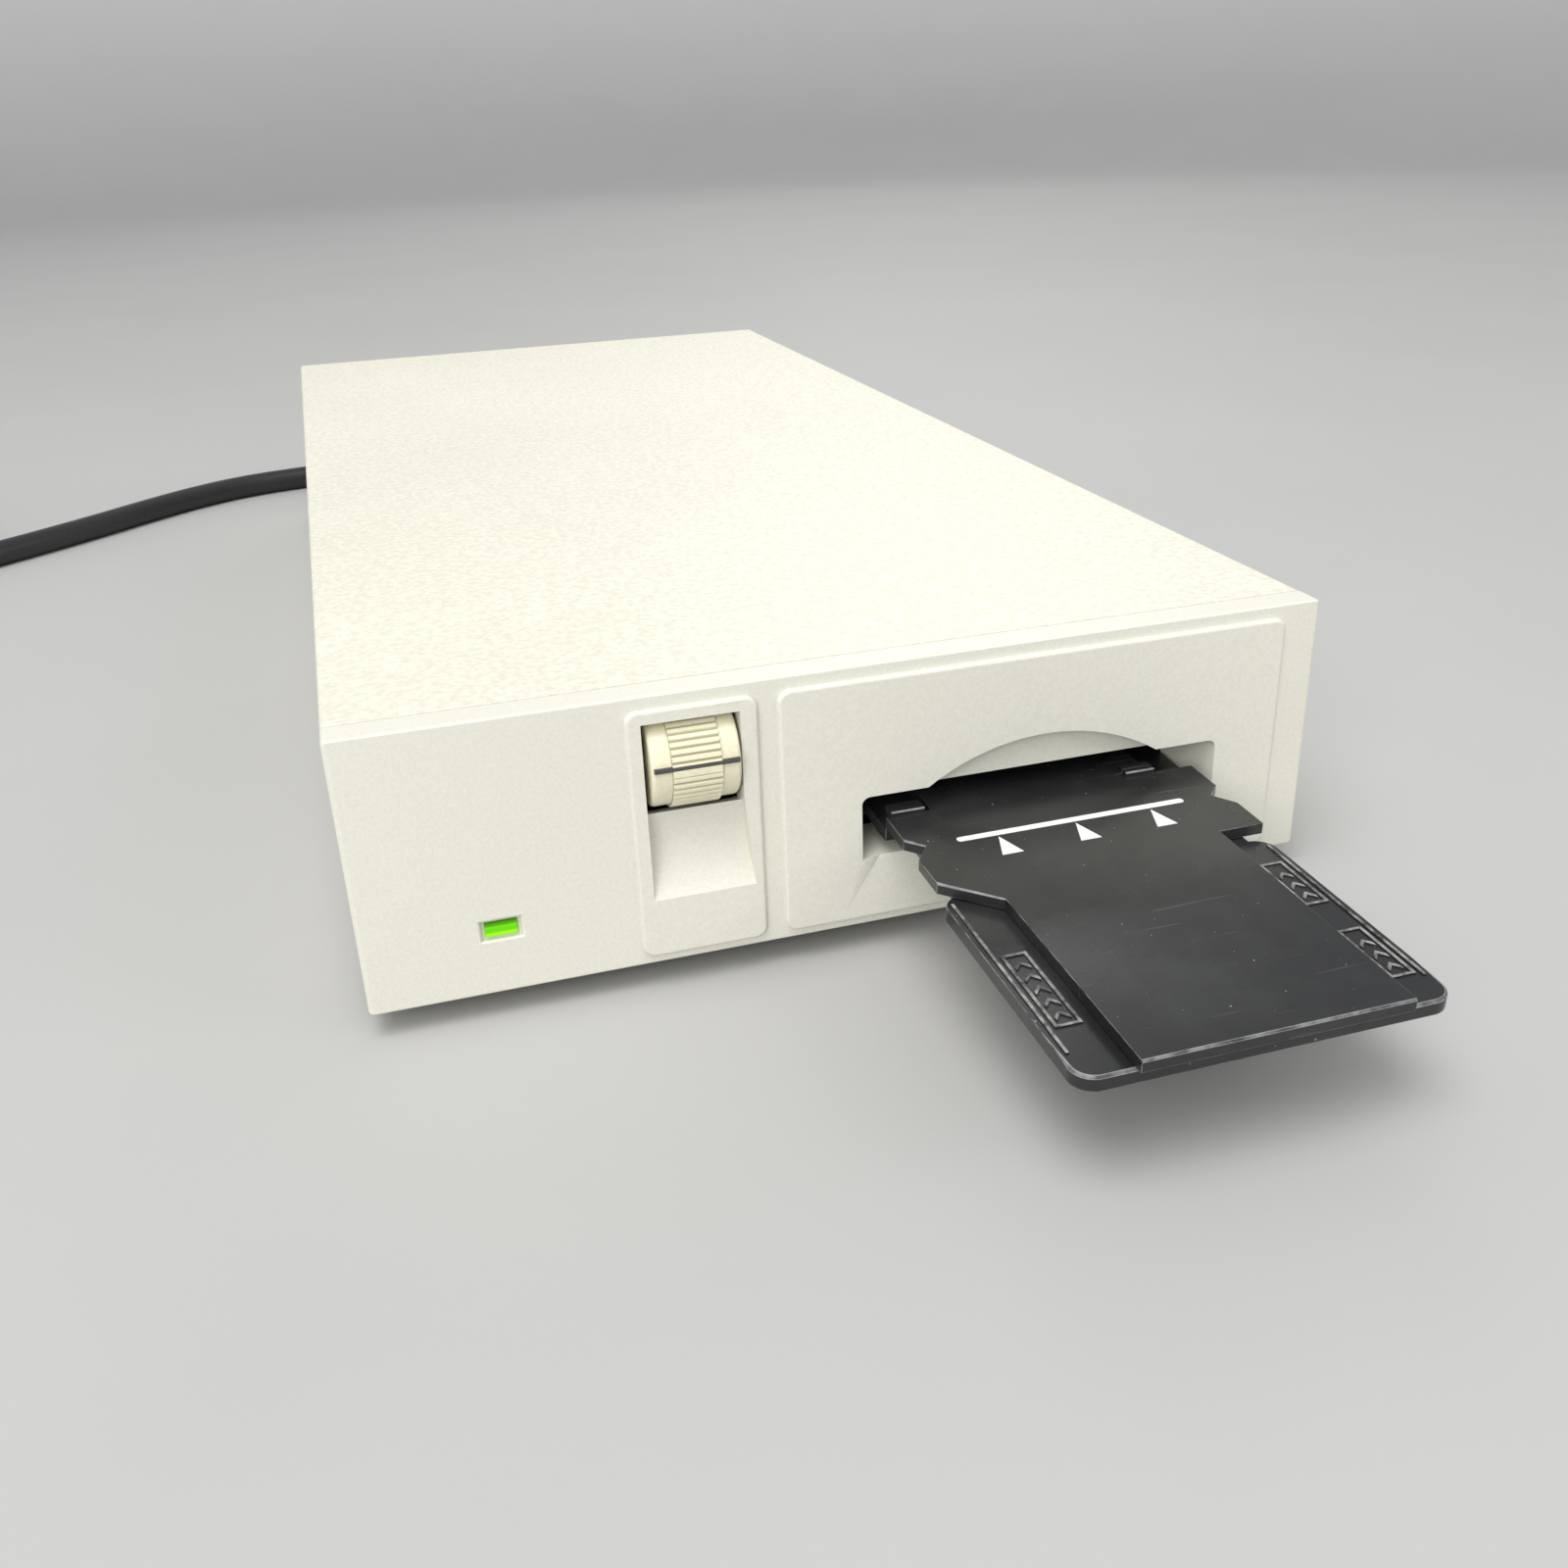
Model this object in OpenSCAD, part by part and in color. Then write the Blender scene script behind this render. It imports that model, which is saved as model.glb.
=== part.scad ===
// Desktop film scanner in a low steel case, with its film holder in the slot and its mains lead.
// Millimetres. X runs to the right, Y to the back, Z up from the surface that the feet stand on.

/* [Case] */
// Width of the case
case_w = 146; // [145:1:152]
// Height of the case above its feet
case_h = 41.3; // [41.3:0.5:44]
// Depth of the case behind its front face
case_d = 316; // [314:1:330]
// Thickness of the steel cover
cover_wall = 1; // [0.8:0.1:1.2]
// Thickness of the steel pan and back panel
pan_wall = 1.2; // [1:0.1:1.4]
// Depth of the moulded front bezel
bezel_depth = 5; // [4.6:0.2:6]
// Thickness of the bezel's front wall
bezel_wall = 2.4; // [2.2:0.1:2.6]
// Thickness of the tongue that goes into the cover
tongue_wall = 1.5; // [1.2:0.1:1.6]
// Length of the tongue
tongue_len = 3; // [2:0.5:3]
// Open seam between bezel and cover
seam = 0.4; // [0.3:0.1:0.6]
// Play between two folded sheets
sheet_fit = 0.1; // [0.1:0.05:0.2]
// Height of the rubber feet
foot_h = 4; // [3:0.5:6]
// Diameter of the rubber feet
foot_d = 13; // [11:0.5:15]
// Inset of a foot's centre from the case's sides and ends
foot_inset = 17; // [14:1:22]

/* [Front panel] */
// How far the raised fields stand proud of the face
panel_raise = 0.8; // [0.6:0.1:1]
// Corner radius of the raised fields
panel_r = 1.8; // [1:0.1:2.4]
// Border between the case's edge and the raised fields
panel_border = 1.5; // [1.3:0.1:2]
// Width of the field around the focus wheel
wheel_panel_w = 18.5; // [18:0.1:18.8]
// Width of the field around the film slot
slot_panel_w = 79.7; // [79:0.1:80.4]
// Channel between the two fields
panel_valley = 2.9; // [2.4:0.1:3.4]
// Width of the status light's lens
lens_w = 4.6; // [4.2:0.1:5.8]
// Height of the status light's lens
lens_h = 2.3; // [2:0.1:3.3]
// Left to right place of the status light
lens_x = -53.7; // [-56:0.5:-50]
// Height of the status light above the pan's underside
lens_z = 10; // [9:0.2:12]
// Depth of the status light's recess
lens_sink = 0.8; // [0.6:0.1:1]

/* [Film slot] */
// Width of the slot's mouth
mouth_w = 57.4; // [57:0.2:60]
// Height of the slot's mouth
mouth_h = 10.2; // [10:0.1:10.6]
// Height of the mouth's lower lip above the pan's underside
mouth_z = 11.1; // [10.8:0.1:11.2]
// Distance of the slot's middle from the case's right side
slot_inset = 45.3; // [44.8:0.1:46]
// Width of the slot's throat
throat_w = 51.2; // [51:0.1:51.6]
// Taper of the funnel's floor and roof, each
funnel_taper = 0.6; // [0.5:0.05:0.6]
// Depth of the funnel behind the face
funnel_depth = 9.5; // [9:0.1:10]
// Wall behind the funnel's faces
funnel_wall = 1.6; // [1.2:0.1:2]
// Thickness of the black throat plate
throat_t = 3; // [2:0.2:3.4]
// Radius of the thumb cut above the slot
thumb_r = 33.3; // [32:0.1:35]
// Rise of the thumb cut above the slot
thumb_rise = 5.6; // [4.5:0.1:6]
// Depth of the thumb cut
thumb_depth = 2.2; // [1.8:0.1:2.4]
// Depth of the ramp below the slot, at the lip
ramp_depth = 1; // [0.8:0.1:1.4]
// How far the ramp widens on each side down to the field's edge
ramp_flare = 3.4; // [3:0.1:4]

/* [Focus wheel] */
// Radius of the wheel over its ribs
wheel_r = 7.3; // [7:0.05:7.35]
// Width of the wheel
wheel_w = 12.6; // [12.4:0.1:12.8]
// Width of the ribbed band
rib_band_w = 6.9; // [6.4:0.1:8]
// Depth of the ribs
rib_depth = 0.35; // [0.3:0.05:0.5]
// Number of rib places around the wheel
rib_count = 44; // [40:1:48]
// How far the wheel's centre lies behind the face
wheel_y = 4.5; // [4.4:0.05:4.7]
// Depth of the wheel's centre below the top of the case
wheel_drop = 10.9; // [10.8:0.1:11.1]
// Radial play around the wheel
wheel_gap = 0.5; // [0.4:0.05:0.6]
// Side play beside the wheel
wheel_side_gap = 0.45; // [0.4:0.05:0.5]
// Gap on the left of the wheel in its window
wheel_left_gap = 0.8; // [0.6:0.05:0.9]
// Height of the wheel's window
window_h = 13.7; // [13.4:0.1:13.9]
// Height of the thumb scoop under the window
scoop_h = 13.8; // [13:0.1:14.4]
// Radius of the scoop's hollow
scoop_r = 13; // [12.5:0.1:14]
// Diameter of the steel axles
axle_d = 3; // [2.6:0.1:3.2]
// Gear module
gear_m = 0.8; // [0.8:0.02:0.8]
// Teeth on the wheel's pinion
pinion_n = 8; // [8:1:8]
// Teeth on the idler
idler_n = 12; // [12:1:12]
// Width of the gears and the rack
gear_w = 4; // [3.6:0.1:4]
// Turn of the wheel each way
wheel_turn = 60; // [45:5:60]

/* [Film holder] */
// Width of the holder
holder_w = 50; // [49:0.1:50]
// Width of the cover plate
clip_w = 36; // [35:0.1:36.4]
// Length outside the face
holder_out = 62.6; // [60:0.5:66]
// Length inside the face
holder_in = 72; // [71:0.5:73]
// Thickness of the cover plate
clip_t = 1.7; // [1.5:0.05:1.8]
// Thickness of the base plate
base_t = 2.1; // [1.9:0.05:2.2]
// Gap between the two plates
plate_gap = 0.2; // [0.2:0.05:0.3]
// Width of the raised lines on the wings
wing_line = 0.45; // [0.4:0.05:0.5]
// Height of the raised lines on the wings
wing_line_t = 0.25; // [0.2:0.05:0.3]
// Width of the framed arrows on the wings
arrow_w = 3.6; // [3.4:0.1:3.8]
// Length by which the cover plate overhangs the base
clip_over = 1.1; // [0.6:0.1:1.6]
// Height of the top face where it passes the front face
holder_z = 17.5; // [17.4:0.05:17.6]
// Pitch of the holder, inner end up, in degrees
holder_pitch = 2.4; // [2.2:0.1:2.5]
// Length of the film window
window_l = 36.5; // [36:0.1:38]
// Width of the film window
window_w = 24.5; // [24:0.1:26]
// Depth of the film bed in the base plate
bed_t = 0.3; // [0.2:0.05:0.4]
// Width of the film bed
bed_w = 35.4; // [35.2:0.1:36]
// How far the holder still goes in
holder_push = 10.1; // [9.5:0.1:10.4]
// Radius of the hinge knuckles
knuckle_r = 1.7; // [1.5:0.05:1.7]
// Radius of the hinge pin
hinge_pin_r = 0.8; // [0.7:0.05:0.9]

/* [Film carriage] */
// Travel of the carriage
scan_travel = 38; // [36:1:40]
// Play around the holder in its channel
channel_gap = 0.3; // [0.3:0.05:0.4]
// Wall beside the channel
channel_wall = 3; // [2.6:0.1:3.2]
// Height of the carriage
carriage_h = 10.2; // [10:0.1:10.6]
// Length of the carriage
carriage_l = 72; // [71:1:74]
// Diameter of the guide rods
rod_d = 4; // [3.6:0.1:4.2]
// Outer diameter of the sliding bushes
bush_d = 6.8; // [6.4:0.1:7]
// Length of a bush
bush_l = 8; // [7:0.5:9]
// Running play of bushes, nut and axles, on the radius
run_fit = 0.05; // [0.03:0.01:0.08]
// Play of a pressed or glued part, on the radius
press_fit = 0.02; // [0.02:0.01:0.03]
// Diameter of the lead screw
screw_d = 6; // [5:0.2:6]
// Pitch of the lead screw
screw_pitch = 2; // [1.5:0.5:3]
// Diameter of the stepping motor
motor_d = 25; // [22:0.5:25]
// Length of the stepping motor
motor_l = 18; // [15:0.5:18]

/* [Light and lens] */
// Height of the optical axis above the pan's underside
axis_z = 9.6; // [9.5:0.05:9.8]
// Thickness of the optical base plate
optic_t = 2; // [1.6:0.1:2.2]
// Diameter of the lens barrel
barrel_d = 11; // [10:0.2:11.4]
// Length of the lens barrel
barrel_l = 28; // [24:1:30]
// Diameter of the lens slide's rods
slide_rod_d = 3; // [2.6:0.1:3.2]
// Thickness of the fold mirror
mirror_t = 1.2; // [1:0.1:1.5]
// Diameter of the light rod
light_rod_d = 5; // [4:0.2:5]

/* [Boards] */
// Thickness of circuit boards
board_t = 1.6; // [1.2:0.1:1.8]
// Height of the board standoffs
standoff_h = 5; // [4:0.5:6]
// Length of the main board
main_l = 150; // [146:1:156]
// Length of the power board
power_l = 66; // [64:1:68]
// Width of the power board
power_w = 57; // [56:1:58]
// Height of the tallest capacitors
cap_h = 24; // [18:1:25]
// Height of the heat sink above its board
sink_h = 22; // [16:1:24]

/* [Back panel] */
// Side of the square fan
fan_side = 30; // [28:0.5:30]
// Thickness of the fan
fan_t = 10; // [8:0.5:10]
// Width of the mains inlet's recess
inlet_w = 24.6; // [24.4:0.1:25]
// Height of the mains inlet's recess
inlet_h = 17; // [16.8:0.1:17.4]
// Depth of the mains inlet's recess
inlet_depth = 16; // [15:0.5:17]
// Width of a data port's flange
port_w = 53; // [52.6:0.1:53.4]
// Distance between a port's two jack posts
port_pitch = 47.04; // [46.8:0.02:47.2]
// How far a port's shell stands out of the panel
port_reach = 5.5; // [5:0.1:6]
// Diameter of the case screws
case_screw_d = 3; // [2.6:0.1:3]

/* [Mains lead] */
// Diameter of the lead
cord_d = 7; // [7:0.1:7]
// Side play of the connector in the inlet
plug_fit = 0.3; // [0.2:0.05:0.4]
// Length of the connector's grip
grip_l = 20; // [18:1:22]
// Length of a tapered strain relief
relief_l = 22; // [20:1:26]

/* [Hidden] */
$fn = 48;
e = 0.5;            // overshoot of a cut past its face
white = "ivory";
black = [0.09, 0.09, 0.1];
steel = "silver";
brass = [0.78, 0.65, 0.36];
board_green = [0.12, 0.36, 0.2];

// The origin lies on the floor, under the middle of the object with its holder drawn out.
holder_reach = holder_out * cos(holder_pitch);
front_y = (holder_reach - case_d - port_reach) / 2;
side_x = case_w / 2;
slot_x = side_x - slot_inset;
wheel_z = case_h - wheel_drop;
function fy(d) = front_y + d;     // a distance behind the front face
function bz(h) = foot_h + h;      // a height above the pan's underside

// Inside of the sheet-metal case
in_x = side_x - cover_wall - sheet_fit;
in_top = case_h - cover_wall - sheet_fit;
pan_top = pan_wall;
shell_y = bezel_depth + seam;
panel_in_y = case_d - pan_wall;   // inner face of the back panel
screw_r = case_screw_d / 2;
head_r = screw_r + 1.3;
head_t = 1.6;
// cross slot in a screw head
cross_l = 2.8;
cross_w = 0.6;
cross_t = 0.9;
hole_r = screw_r + 0.1;

// Raised fields of the front
slot_panel_x1 = side_x - 6.2;
slot_panel_x0 = slot_panel_x1 - slot_panel_w;
wheel_panel_x1 = slot_panel_x0 - panel_valley;
wheel_panel_x0 = wheel_panel_x1 - wheel_panel_w;

// Focus wheel and its gears; they turn about X
wheel_x0 = wheel_panel_x0 + 2.9;
wheel_x1 = wheel_x0 + wheel_w;
window_x0 = wheel_x0 - wheel_left_gap;
window_x1 = wheel_x1 + wheel_side_gap;
window_z0 = wheel_z - 6.6;
window_z1 = window_z0 + window_h;
scoop_z0 = window_z0 - scoop_h;
axle_r = axle_d / 2;
pinion_r = gear_m * pinion_n / 2;
idler_r = gear_m * idler_n / 2;
gear_x0 = wheel_x1;
gear_x1 = gear_x0 + gear_w;
idler_x0 = gear_x0 + 0.4;         // clear of the wheel's flank
idler_y = wheel_y + pinion_r + idler_r;
gear_add = 0.6 * gear_m;
gear_ded = 0.8 * gear_m;
gear_play = 0.16;
focus_reach = pinion_r * wheel_turn * PI / 180;
cheek_gap = 0.5;
cheek_t = 2.4;
cheek_x1 = gear_x1 + cheek_gap;
cheek_x0 = wheel_x0 - 1.6 - cheek_t;
web_y = idler_y + idler_r + gear_add + 1;
rod_bar_z0 = wheel_z + idler_r + gear_ded;
rod_bar_z1 = rod_bar_z0 + 2.3;

// Film holder: u across, v along (inwards), w up from its top face
base_top = -clip_t - plate_gap;
base_low = base_top - base_t;
ear_v0 = -20;
ear_v1 = -0.5;
frame_v = 46;
hinge_v = holder_in - 5;
hinge_w = -0.6;
knuckle_u = 15;

// Film carriage
car_y0 = 16;
car_z0 = 12.2;
car_half = holder_w / 2 + channel_gap + channel_wall;
rod_r = rod_d / 2;
rod_z = 17.5;
rod_dx = car_half + 6;
bush_r = bush_d / 2;
lug_r = bush_r + 1.3;
bush_y = [20, 76];
rod_x = [slot_x - rod_dx, slot_x + rod_dx];
screw_x = rod_x[0] - 8.2;
nut_r = screw_d / 2 + 1.5;
nut_y = bush_y[0] + bush_l;
nut_l = 10;
post_y = 10;
post_t = 5;
rear_post_y = car_y0 + carriage_l + scan_travel + 4;
motor_y = rear_post_y + post_t + 2.5;

// Light path
scan_y = frame_v + holder_push + window_l / 2 + 0.8;
optic_top = pan_top + optic_t;
lens_y = motor_y + 16;
block_l = 18;
block_half = 14;
slide_rod_r = slide_rod_d / 2;
slide_dx = 11;
barrel_r = barrel_d / 2;
sensor_y = lens_y + 62;
leg_y = lens_y + 4;
bridge_y = scan_y - 6;
bridge_l = 12;
lamp_z = car_z0 + carriage_h + 1.2;
lamp_h = light_rod_d + 1;
bridge_t = 1.6;
bridge_x0 = screw_x - nut_r - 6;
bridge_x1 = in_x - 1.6;

// Boards
board_z = pan_top + standoff_h;
main_x = [-in_x + 3, bridge_x0 - 2.8];
main_y = [24, 24 + main_l];
power_x = [-in_x + 3, -in_x + 3 + power_w];
power_y = [case_d - 20 - power_l, case_d - 20];

// Back panel places: [x, height above the pan's underside]
inlet_at = [side_x - 33, 21];
switch_at = [side_x - 10.8, 21];
fan_at = [side_x - 65, 20.8];
port_at = [[31 - side_x, 9], [31 - side_x, 23.4]];
dial_at = [61.8 - side_x, 30];
dial_r = 3;
switch_w = 8.6;
switch_h = 15;
tab_x = side_x - 17;

// Mains lead: points of its free stretch, and the coil that takes up the rest
cord_r = cord_d / 2;
cord_route = [
  [40, 230.5, 25], [40, 242, 24.7], [38.5, 251, 23.8], [33.5, 262, 21.8], [25, 270.5, 19.2],
  [14, 276, 16.2], [2, 277, 13.2], [-10, 273.5, 10.2], [-20, 266.5, 7.6], [-27, 256.5, 5.5],
  [-30, 249, 4.4], [-33.5, 241, 3.7], [-40.5, 232.5, 3.5], [-48.5, 227.2, 3.5], [-57.5, 224.2, 3.5],
  [-68, 222.6, 3.5], [-80, 220.6, 3.5], [-97, 215.8, 3.5], [-112, 207, 3.5], [-126, 195, 3.5],
  [-140, 181.2, 3.5], [-153, 169.2, 3.5], [-166, 158, 3.5], [-178, 147.5, 3.5], [-190, 137, 3.5]
];
coil_at = [-231, 163.5];
coil_mid = 40;
coil_r0 = coil_mid - 1.5 * cord_d;
coil_r1 = coil_mid + 1.5 * cord_d;
coil_h = 2 * cord_d;
cord_sides = 10;
plug_x = coil_at[0] - coil_r1 + cord_r;
plug_y = coil_at[1] + 12;
plug_z = 10.5;

// ---------- shared shapes ----------

module span(x, y, z) {
  translate([x[0], fy(y[0]), bz(z[0])])
    cube([x[1] - x[0], y[1] - y[0], z[1] - z[0]]);
}

// A round bar along X, Y or Z from its first end's centre
module bar_x(x, y, z, r) {
  translate([x[0], fy(y), bz(z)]) rotate([0, 90, 0]) cylinder(h = x[1] - x[0], r = r);
}

module bar_y(x, y, z, r) {
  translate([x, fy(y[0]), bz(z)]) rotate([-90, 0, 0]) cylinder(h = y[1] - y[0], r = r);
}

module bar_z(x, y, z, r) {
  translate([x, fy(y), bz(z[0])]) cylinder(h = z[1] - z[0], r = r);
}

// A flat outline with round corners
module round_rect(x0, z0, x1, z1, r) {
  translate([x0 + r, z0]) square([x1 - x0 - 2 * r, z1 - z0]);
  translate([x0, z0 + r]) square([x1 - x0, z1 - z0 - 2 * r]);
  for (x = [x0 + r, x1 - r], z = [z0 + r, z1 - r]) translate([x, z]) circle(r);
}

// Extrudes an outline drawn in X and height back from a plane in front of or behind the face
module face_plate(y0, y1) {
  translate([0, fy(y1), bz(0)]) rotate([90, 0, 0]) linear_extrude(y1 - y0) children();
}

// Extrudes an outline drawn in depth and height sideways
module side_plate(x0, x1) {
  translate([x0, fy(0), bz(0)]) rotate([90, 0, 90]) linear_extrude(x1 - x0) children();
}

// Extrudes an outline drawn in X and depth upwards
module top_plate(z0, z1) {
  translate([0, fy(0), bz(z0)]) linear_extrude(z1 - z0) children();
}

// Puts the holder's own axes at its place in the slot
module in_holder() {
  translate([slot_x, front_y, bz(holder_z)]) rotate([holder_pitch, 0, 0]) children();
}

// A case screw whose head, with a cross slot, stands on a face and points along +Y
module back_screw(at, y, reach) {
  bar_y(at[0], [y - reach, y + 0.01], at[1], screw_r);
  difference() {
    bar_y(at[0], [y, y + head_t], at[1], head_r);
    for (arm = [[cross_l, cross_w], [cross_w, cross_l]])
      span([at[0] - arm[0] / 2, at[0] + arm[0] / 2], [y + head_t - cross_t, y + head_t + e],
        [at[1] - arm[1] / 2, at[1] + arm[1] / 2]);
  }
}

// ---------- gears ----------

function inv_at(r, rb) = let (a = acos(min(1, rb / r))) tan(a) - a * PI / 180;
function tooth_half(r, rp, n) =
  let (rb = rp * cos(20))
  (90 / n - gear_play / 4 / rp * 180 / PI) + (inv_at(rp, rb) - inv_at(max(r, rb), rb)) * 180 / PI;
function polar(r, a) = [r * cos(a), r * sin(a)];

// A spur gear with a tooth on its first axis, turned by phase
module spur(n, rp, phase) {
  rt = rp + gear_add;
  rr = rp - gear_ded;
  flank = [for (k = [0:4]) rr + (rt - rr) * k / 4];
  polygon([for (i = [0:n - 1]) each concat(
    [for (r = flank) polar(r, phase + i * 360 / n - tooth_half(r, rp, n))],
    [for (k = [4:-1:0]) polar(flank[k], phase + i * 360 / n + tooth_half(flank[k], rp, n))]
  )]);
}

// ---------- case ----------

funnel_x = [slot_x - mouth_w / 2, slot_x + mouth_w / 2];
mouth_top = mouth_z + mouth_h;
throat_z = [mouth_z + funnel_taper, mouth_top - funnel_taper];

module funnel_cut() {
  y0 = -panel_raise;
  intersection() {
    top_plate(mouth_z - e, mouth_top + e) polygon([
      [funnel_x[0], y0 - e], [funnel_x[1], y0 - e], [funnel_x[1], y0],
      [slot_x + throat_w / 2, funnel_depth], [slot_x + throat_w / 2, funnel_depth + e],
      [slot_x - throat_w / 2, funnel_depth + e], [slot_x - throat_w / 2, funnel_depth],
      [funnel_x[0], y0]
    ]);
    side_plate(funnel_x[0] - e, funnel_x[1] + e) polygon([
      [y0 - e, mouth_z], [y0, mouth_z], [funnel_depth, throat_z[0]], [funnel_depth + e, throat_z[0]],
      [funnel_depth + e, throat_z[1]], [funnel_depth, throat_z[1]], [y0, mouth_top], [y0 - e, mouth_top]
    ]);
  }
}

// Shallow wedge from the slot's lip down to the field's lower edge
module ramp_cut() {
  y0 = -panel_raise;
  intersection() {
    side_plate(funnel_x[0] - ramp_flare - e, funnel_x[1] + ramp_flare + e) polygon([
      [y0 - e, panel_border], [y0, panel_border], [y0 + ramp_depth, mouth_z + 0.1],
      [y0 - e, mouth_z + 0.1]
    ]);
    face_plate(y0 - e, y0 + ramp_depth + e) polygon([
      [funnel_x[0] - ramp_flare, panel_border], [funnel_x[1] + ramp_flare, panel_border],
      [funnel_x[1], mouth_z + 0.1], [funnel_x[0], mouth_z + 0.1]
    ]);
  }
}

// Hollow under the focus wheel, deep below the window and running out at its foot
module scoop_cut() {
  y0 = -panel_raise;
  intersection() {
    bar_x([window_x0 - e, window_x1 + 3], y0 + 2.6 - scoop_r, scoop_z0 + scoop_h / 2 + 1.5, scoop_r);
    face_plate(y0 - e, y0 + 4) polygon([
      [window_x0, scoop_z0], [window_x1 + 1.2, scoop_z0], [window_x1, window_z0 + e],
      [window_x0, window_z0 + e]
    ]);
  }
}

module front_bezel() {
  y0 = -panel_raise;
  hollow_x = in_x - tongue_wall;
  hollow_z = [pan_top + sheet_fit + tongue_wall, in_top - tongue_wall];
  color(white) difference() {
    union() {
      difference() {
        union() {
          span([-side_x, side_x], [0, bezel_depth], [0, case_h]);
          span([-in_x, in_x], [bezel_depth - e, shell_y + tongue_len], [pan_top + sheet_fit, in_top]);
          face_plate(y0, e)
            round_rect(wheel_panel_x0, panel_border, wheel_panel_x1, case_h - panel_border - 0.4, panel_r);
          face_plate(y0, e)
            round_rect(slot_panel_x0, panel_border, slot_panel_x1, case_h - panel_border - 0.4, panel_r);
        }
        span([-hollow_x, hollow_x], [bezel_wall, shell_y + tongue_len + e], hollow_z);
      }
      // walls behind the funnel and the scoop, and two bosses for the status board
      span([funnel_x[0] - 0.3, funnel_x[1] + 0.3], [bezel_wall - e, funnel_depth],
        [mouth_z - funnel_wall, mouth_top + funnel_wall]);
      span([window_x0 - 1.2, window_x1 + 2.6], [bezel_wall - e, 3.6], [scoop_z0 - 1, window_z0]);
      for (x = [lens_x - 9, lens_x + 9]) bar_y(x, [bezel_wall - e, status_y], lens_z, 2);
    }
    funnel_cut();
    ramp_cut();
    scoop_cut();
    intersection() {
      bar_y(slot_x, [y0 - e, y0 + thumb_depth], mouth_top + thumb_rise - thumb_r, thumb_r);
      span([slot_x - thumb_r, slot_x + thumb_r], [y0 - e, y0 + thumb_depth], [mouth_top - 1, case_h]);
    }
    // window of the focus wheel, and room for the wheel behind it
    span([window_x0, window_x1], [y0 - e, wheel_y], [window_z0, window_z1]);
    bar_x([window_x0, window_x1], wheel_y, wheel_z, wheel_r + wheel_gap);
    bar_x([window_x1 - e, gear_x1 + cheek_gap], wheel_y, wheel_z, pinion_r + gear_add + wheel_gap);
    // seat of the status light, with a wider recess in front
    span([lens_x - lens_w / 2 - 0.5, lens_x + lens_w / 2 + 0.5], [-e, lens_sink],
      [lens_z - lens_h / 2 - 0.4, lens_z + lens_h / 2 + 0.4]);
    span([lens_x - lens_w / 2, lens_x + lens_w / 2], [0, bezel_wall + e],
      [lens_z - lens_h / 2, lens_z + lens_h / 2]);
  }
}

module throat_plate() {
  color(black) difference() {
    span([slot_x - throat_w / 2 - 4.4, slot_x + throat_w / 2 + 4.4], [funnel_depth, funnel_depth + throat_t],
      [mouth_z - funnel_wall, mouth_top + funnel_wall]);
    span([slot_x - throat_w / 2, slot_x + throat_w / 2], [funnel_depth - e, funnel_depth + throat_t + e],
      throat_z);
  }
}

module top_cover() {
  y = [shell_y, case_d];
  color(white) difference() {
    union() {
      span([-side_x, side_x], y, [case_h - cover_wall, case_h]);
      for (s = [-side_x, side_x - cover_wall]) span([s, s + cover_wall], y, [0, case_h]);
      // tabs that take the back panel's screws
      for (x = [-tab_x, tab_x])
        span([x - 6, x + 6], [panel_in_y - sheet_fit - cover_wall, panel_in_y - sheet_fit],
          [in_top - 6, case_h - e]);
    }
    for (x = [-tab_x, tab_x]) bar_y(x, [panel_in_y - 5, case_d + e], in_top - 3.2, hole_r);
  }
}

module bottom_pan() {
  color(steel) difference() {
    union() {
      span([-in_x, in_x], [shell_y, case_d], [0, pan_wall]);
      for (s = [-in_x, in_x - pan_wall])
        span([s, s + pan_wall], [shell_y + tongue_len + 1, panel_in_y - sheet_fit], [0, 12]);
    }
    for (p = pan_screws) bar_z(p[0], p[1], [-e, pan_wall + e], hole_r);
    // cooling slots
    for (i = [0:7]) span([-52 + i * 5, -50 + i * 5], [case_d - 66, case_d - 36], [-e, pan_wall + e]);
  }
}

module port_cut(at) {
  face_plate(panel_in_y - e, case_d + e)
    round_rect(at[0] - 20.2, at[1] - 4.8, at[0] + 20.2, at[1] + 4.8, 2);
  for (s = [-1, 1]) bar_y(at[0] + s * port_pitch / 2, [panel_in_y - e, case_d + e], at[1], hole_r);
}

module back_panel() {
  y = [panel_in_y - e, case_d + e];
  color(steel) difference() {
    span([-in_x, in_x], [panel_in_y, case_d], [pan_top, in_top]);
    for (at = port_at) port_cut(at);
    span([inlet_at[0] - inlet_w / 2 - 1.4, inlet_at[0] + inlet_w / 2 + 1.4], y,
      [inlet_at[1] - inlet_h / 2 - 1.4, inlet_at[1] + inlet_h / 2 + 1.4]);
    span([switch_at[0] - switch_w / 2 - 1.6, switch_at[0] + switch_w / 2 + 1.6], y,
      [switch_at[1] - switch_h / 2 - 2, switch_at[1] + switch_h / 2 + 2]);
    bar_y(dial_at[0], y, dial_at[1], dial_r + 0.4);
    for (x = [-tab_x, tab_x]) bar_y(x, y, in_top - 3.2, hole_r);
    for (s = fan_holes) bar_y(s[0], y, s[1], hole_r);
    // slots of the fan's grille
    for (i = [-4:4]) {
      h = sqrt(pow(fan_side / 2 - 2, 2) - pow(i * 2.8, 2)) - 0.6;
      span([fan_at[0] + i * 2.8 - 0.8, fan_at[0] + i * 2.8 + 0.8], y, [fan_at[1] - h, fan_at[1] + h]);
    }
  }
}

foot_at = [for (x = [foot_inset - side_x, side_x - foot_inset], y = [foot_inset, case_d - foot_inset]) [x, y]];

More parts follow.
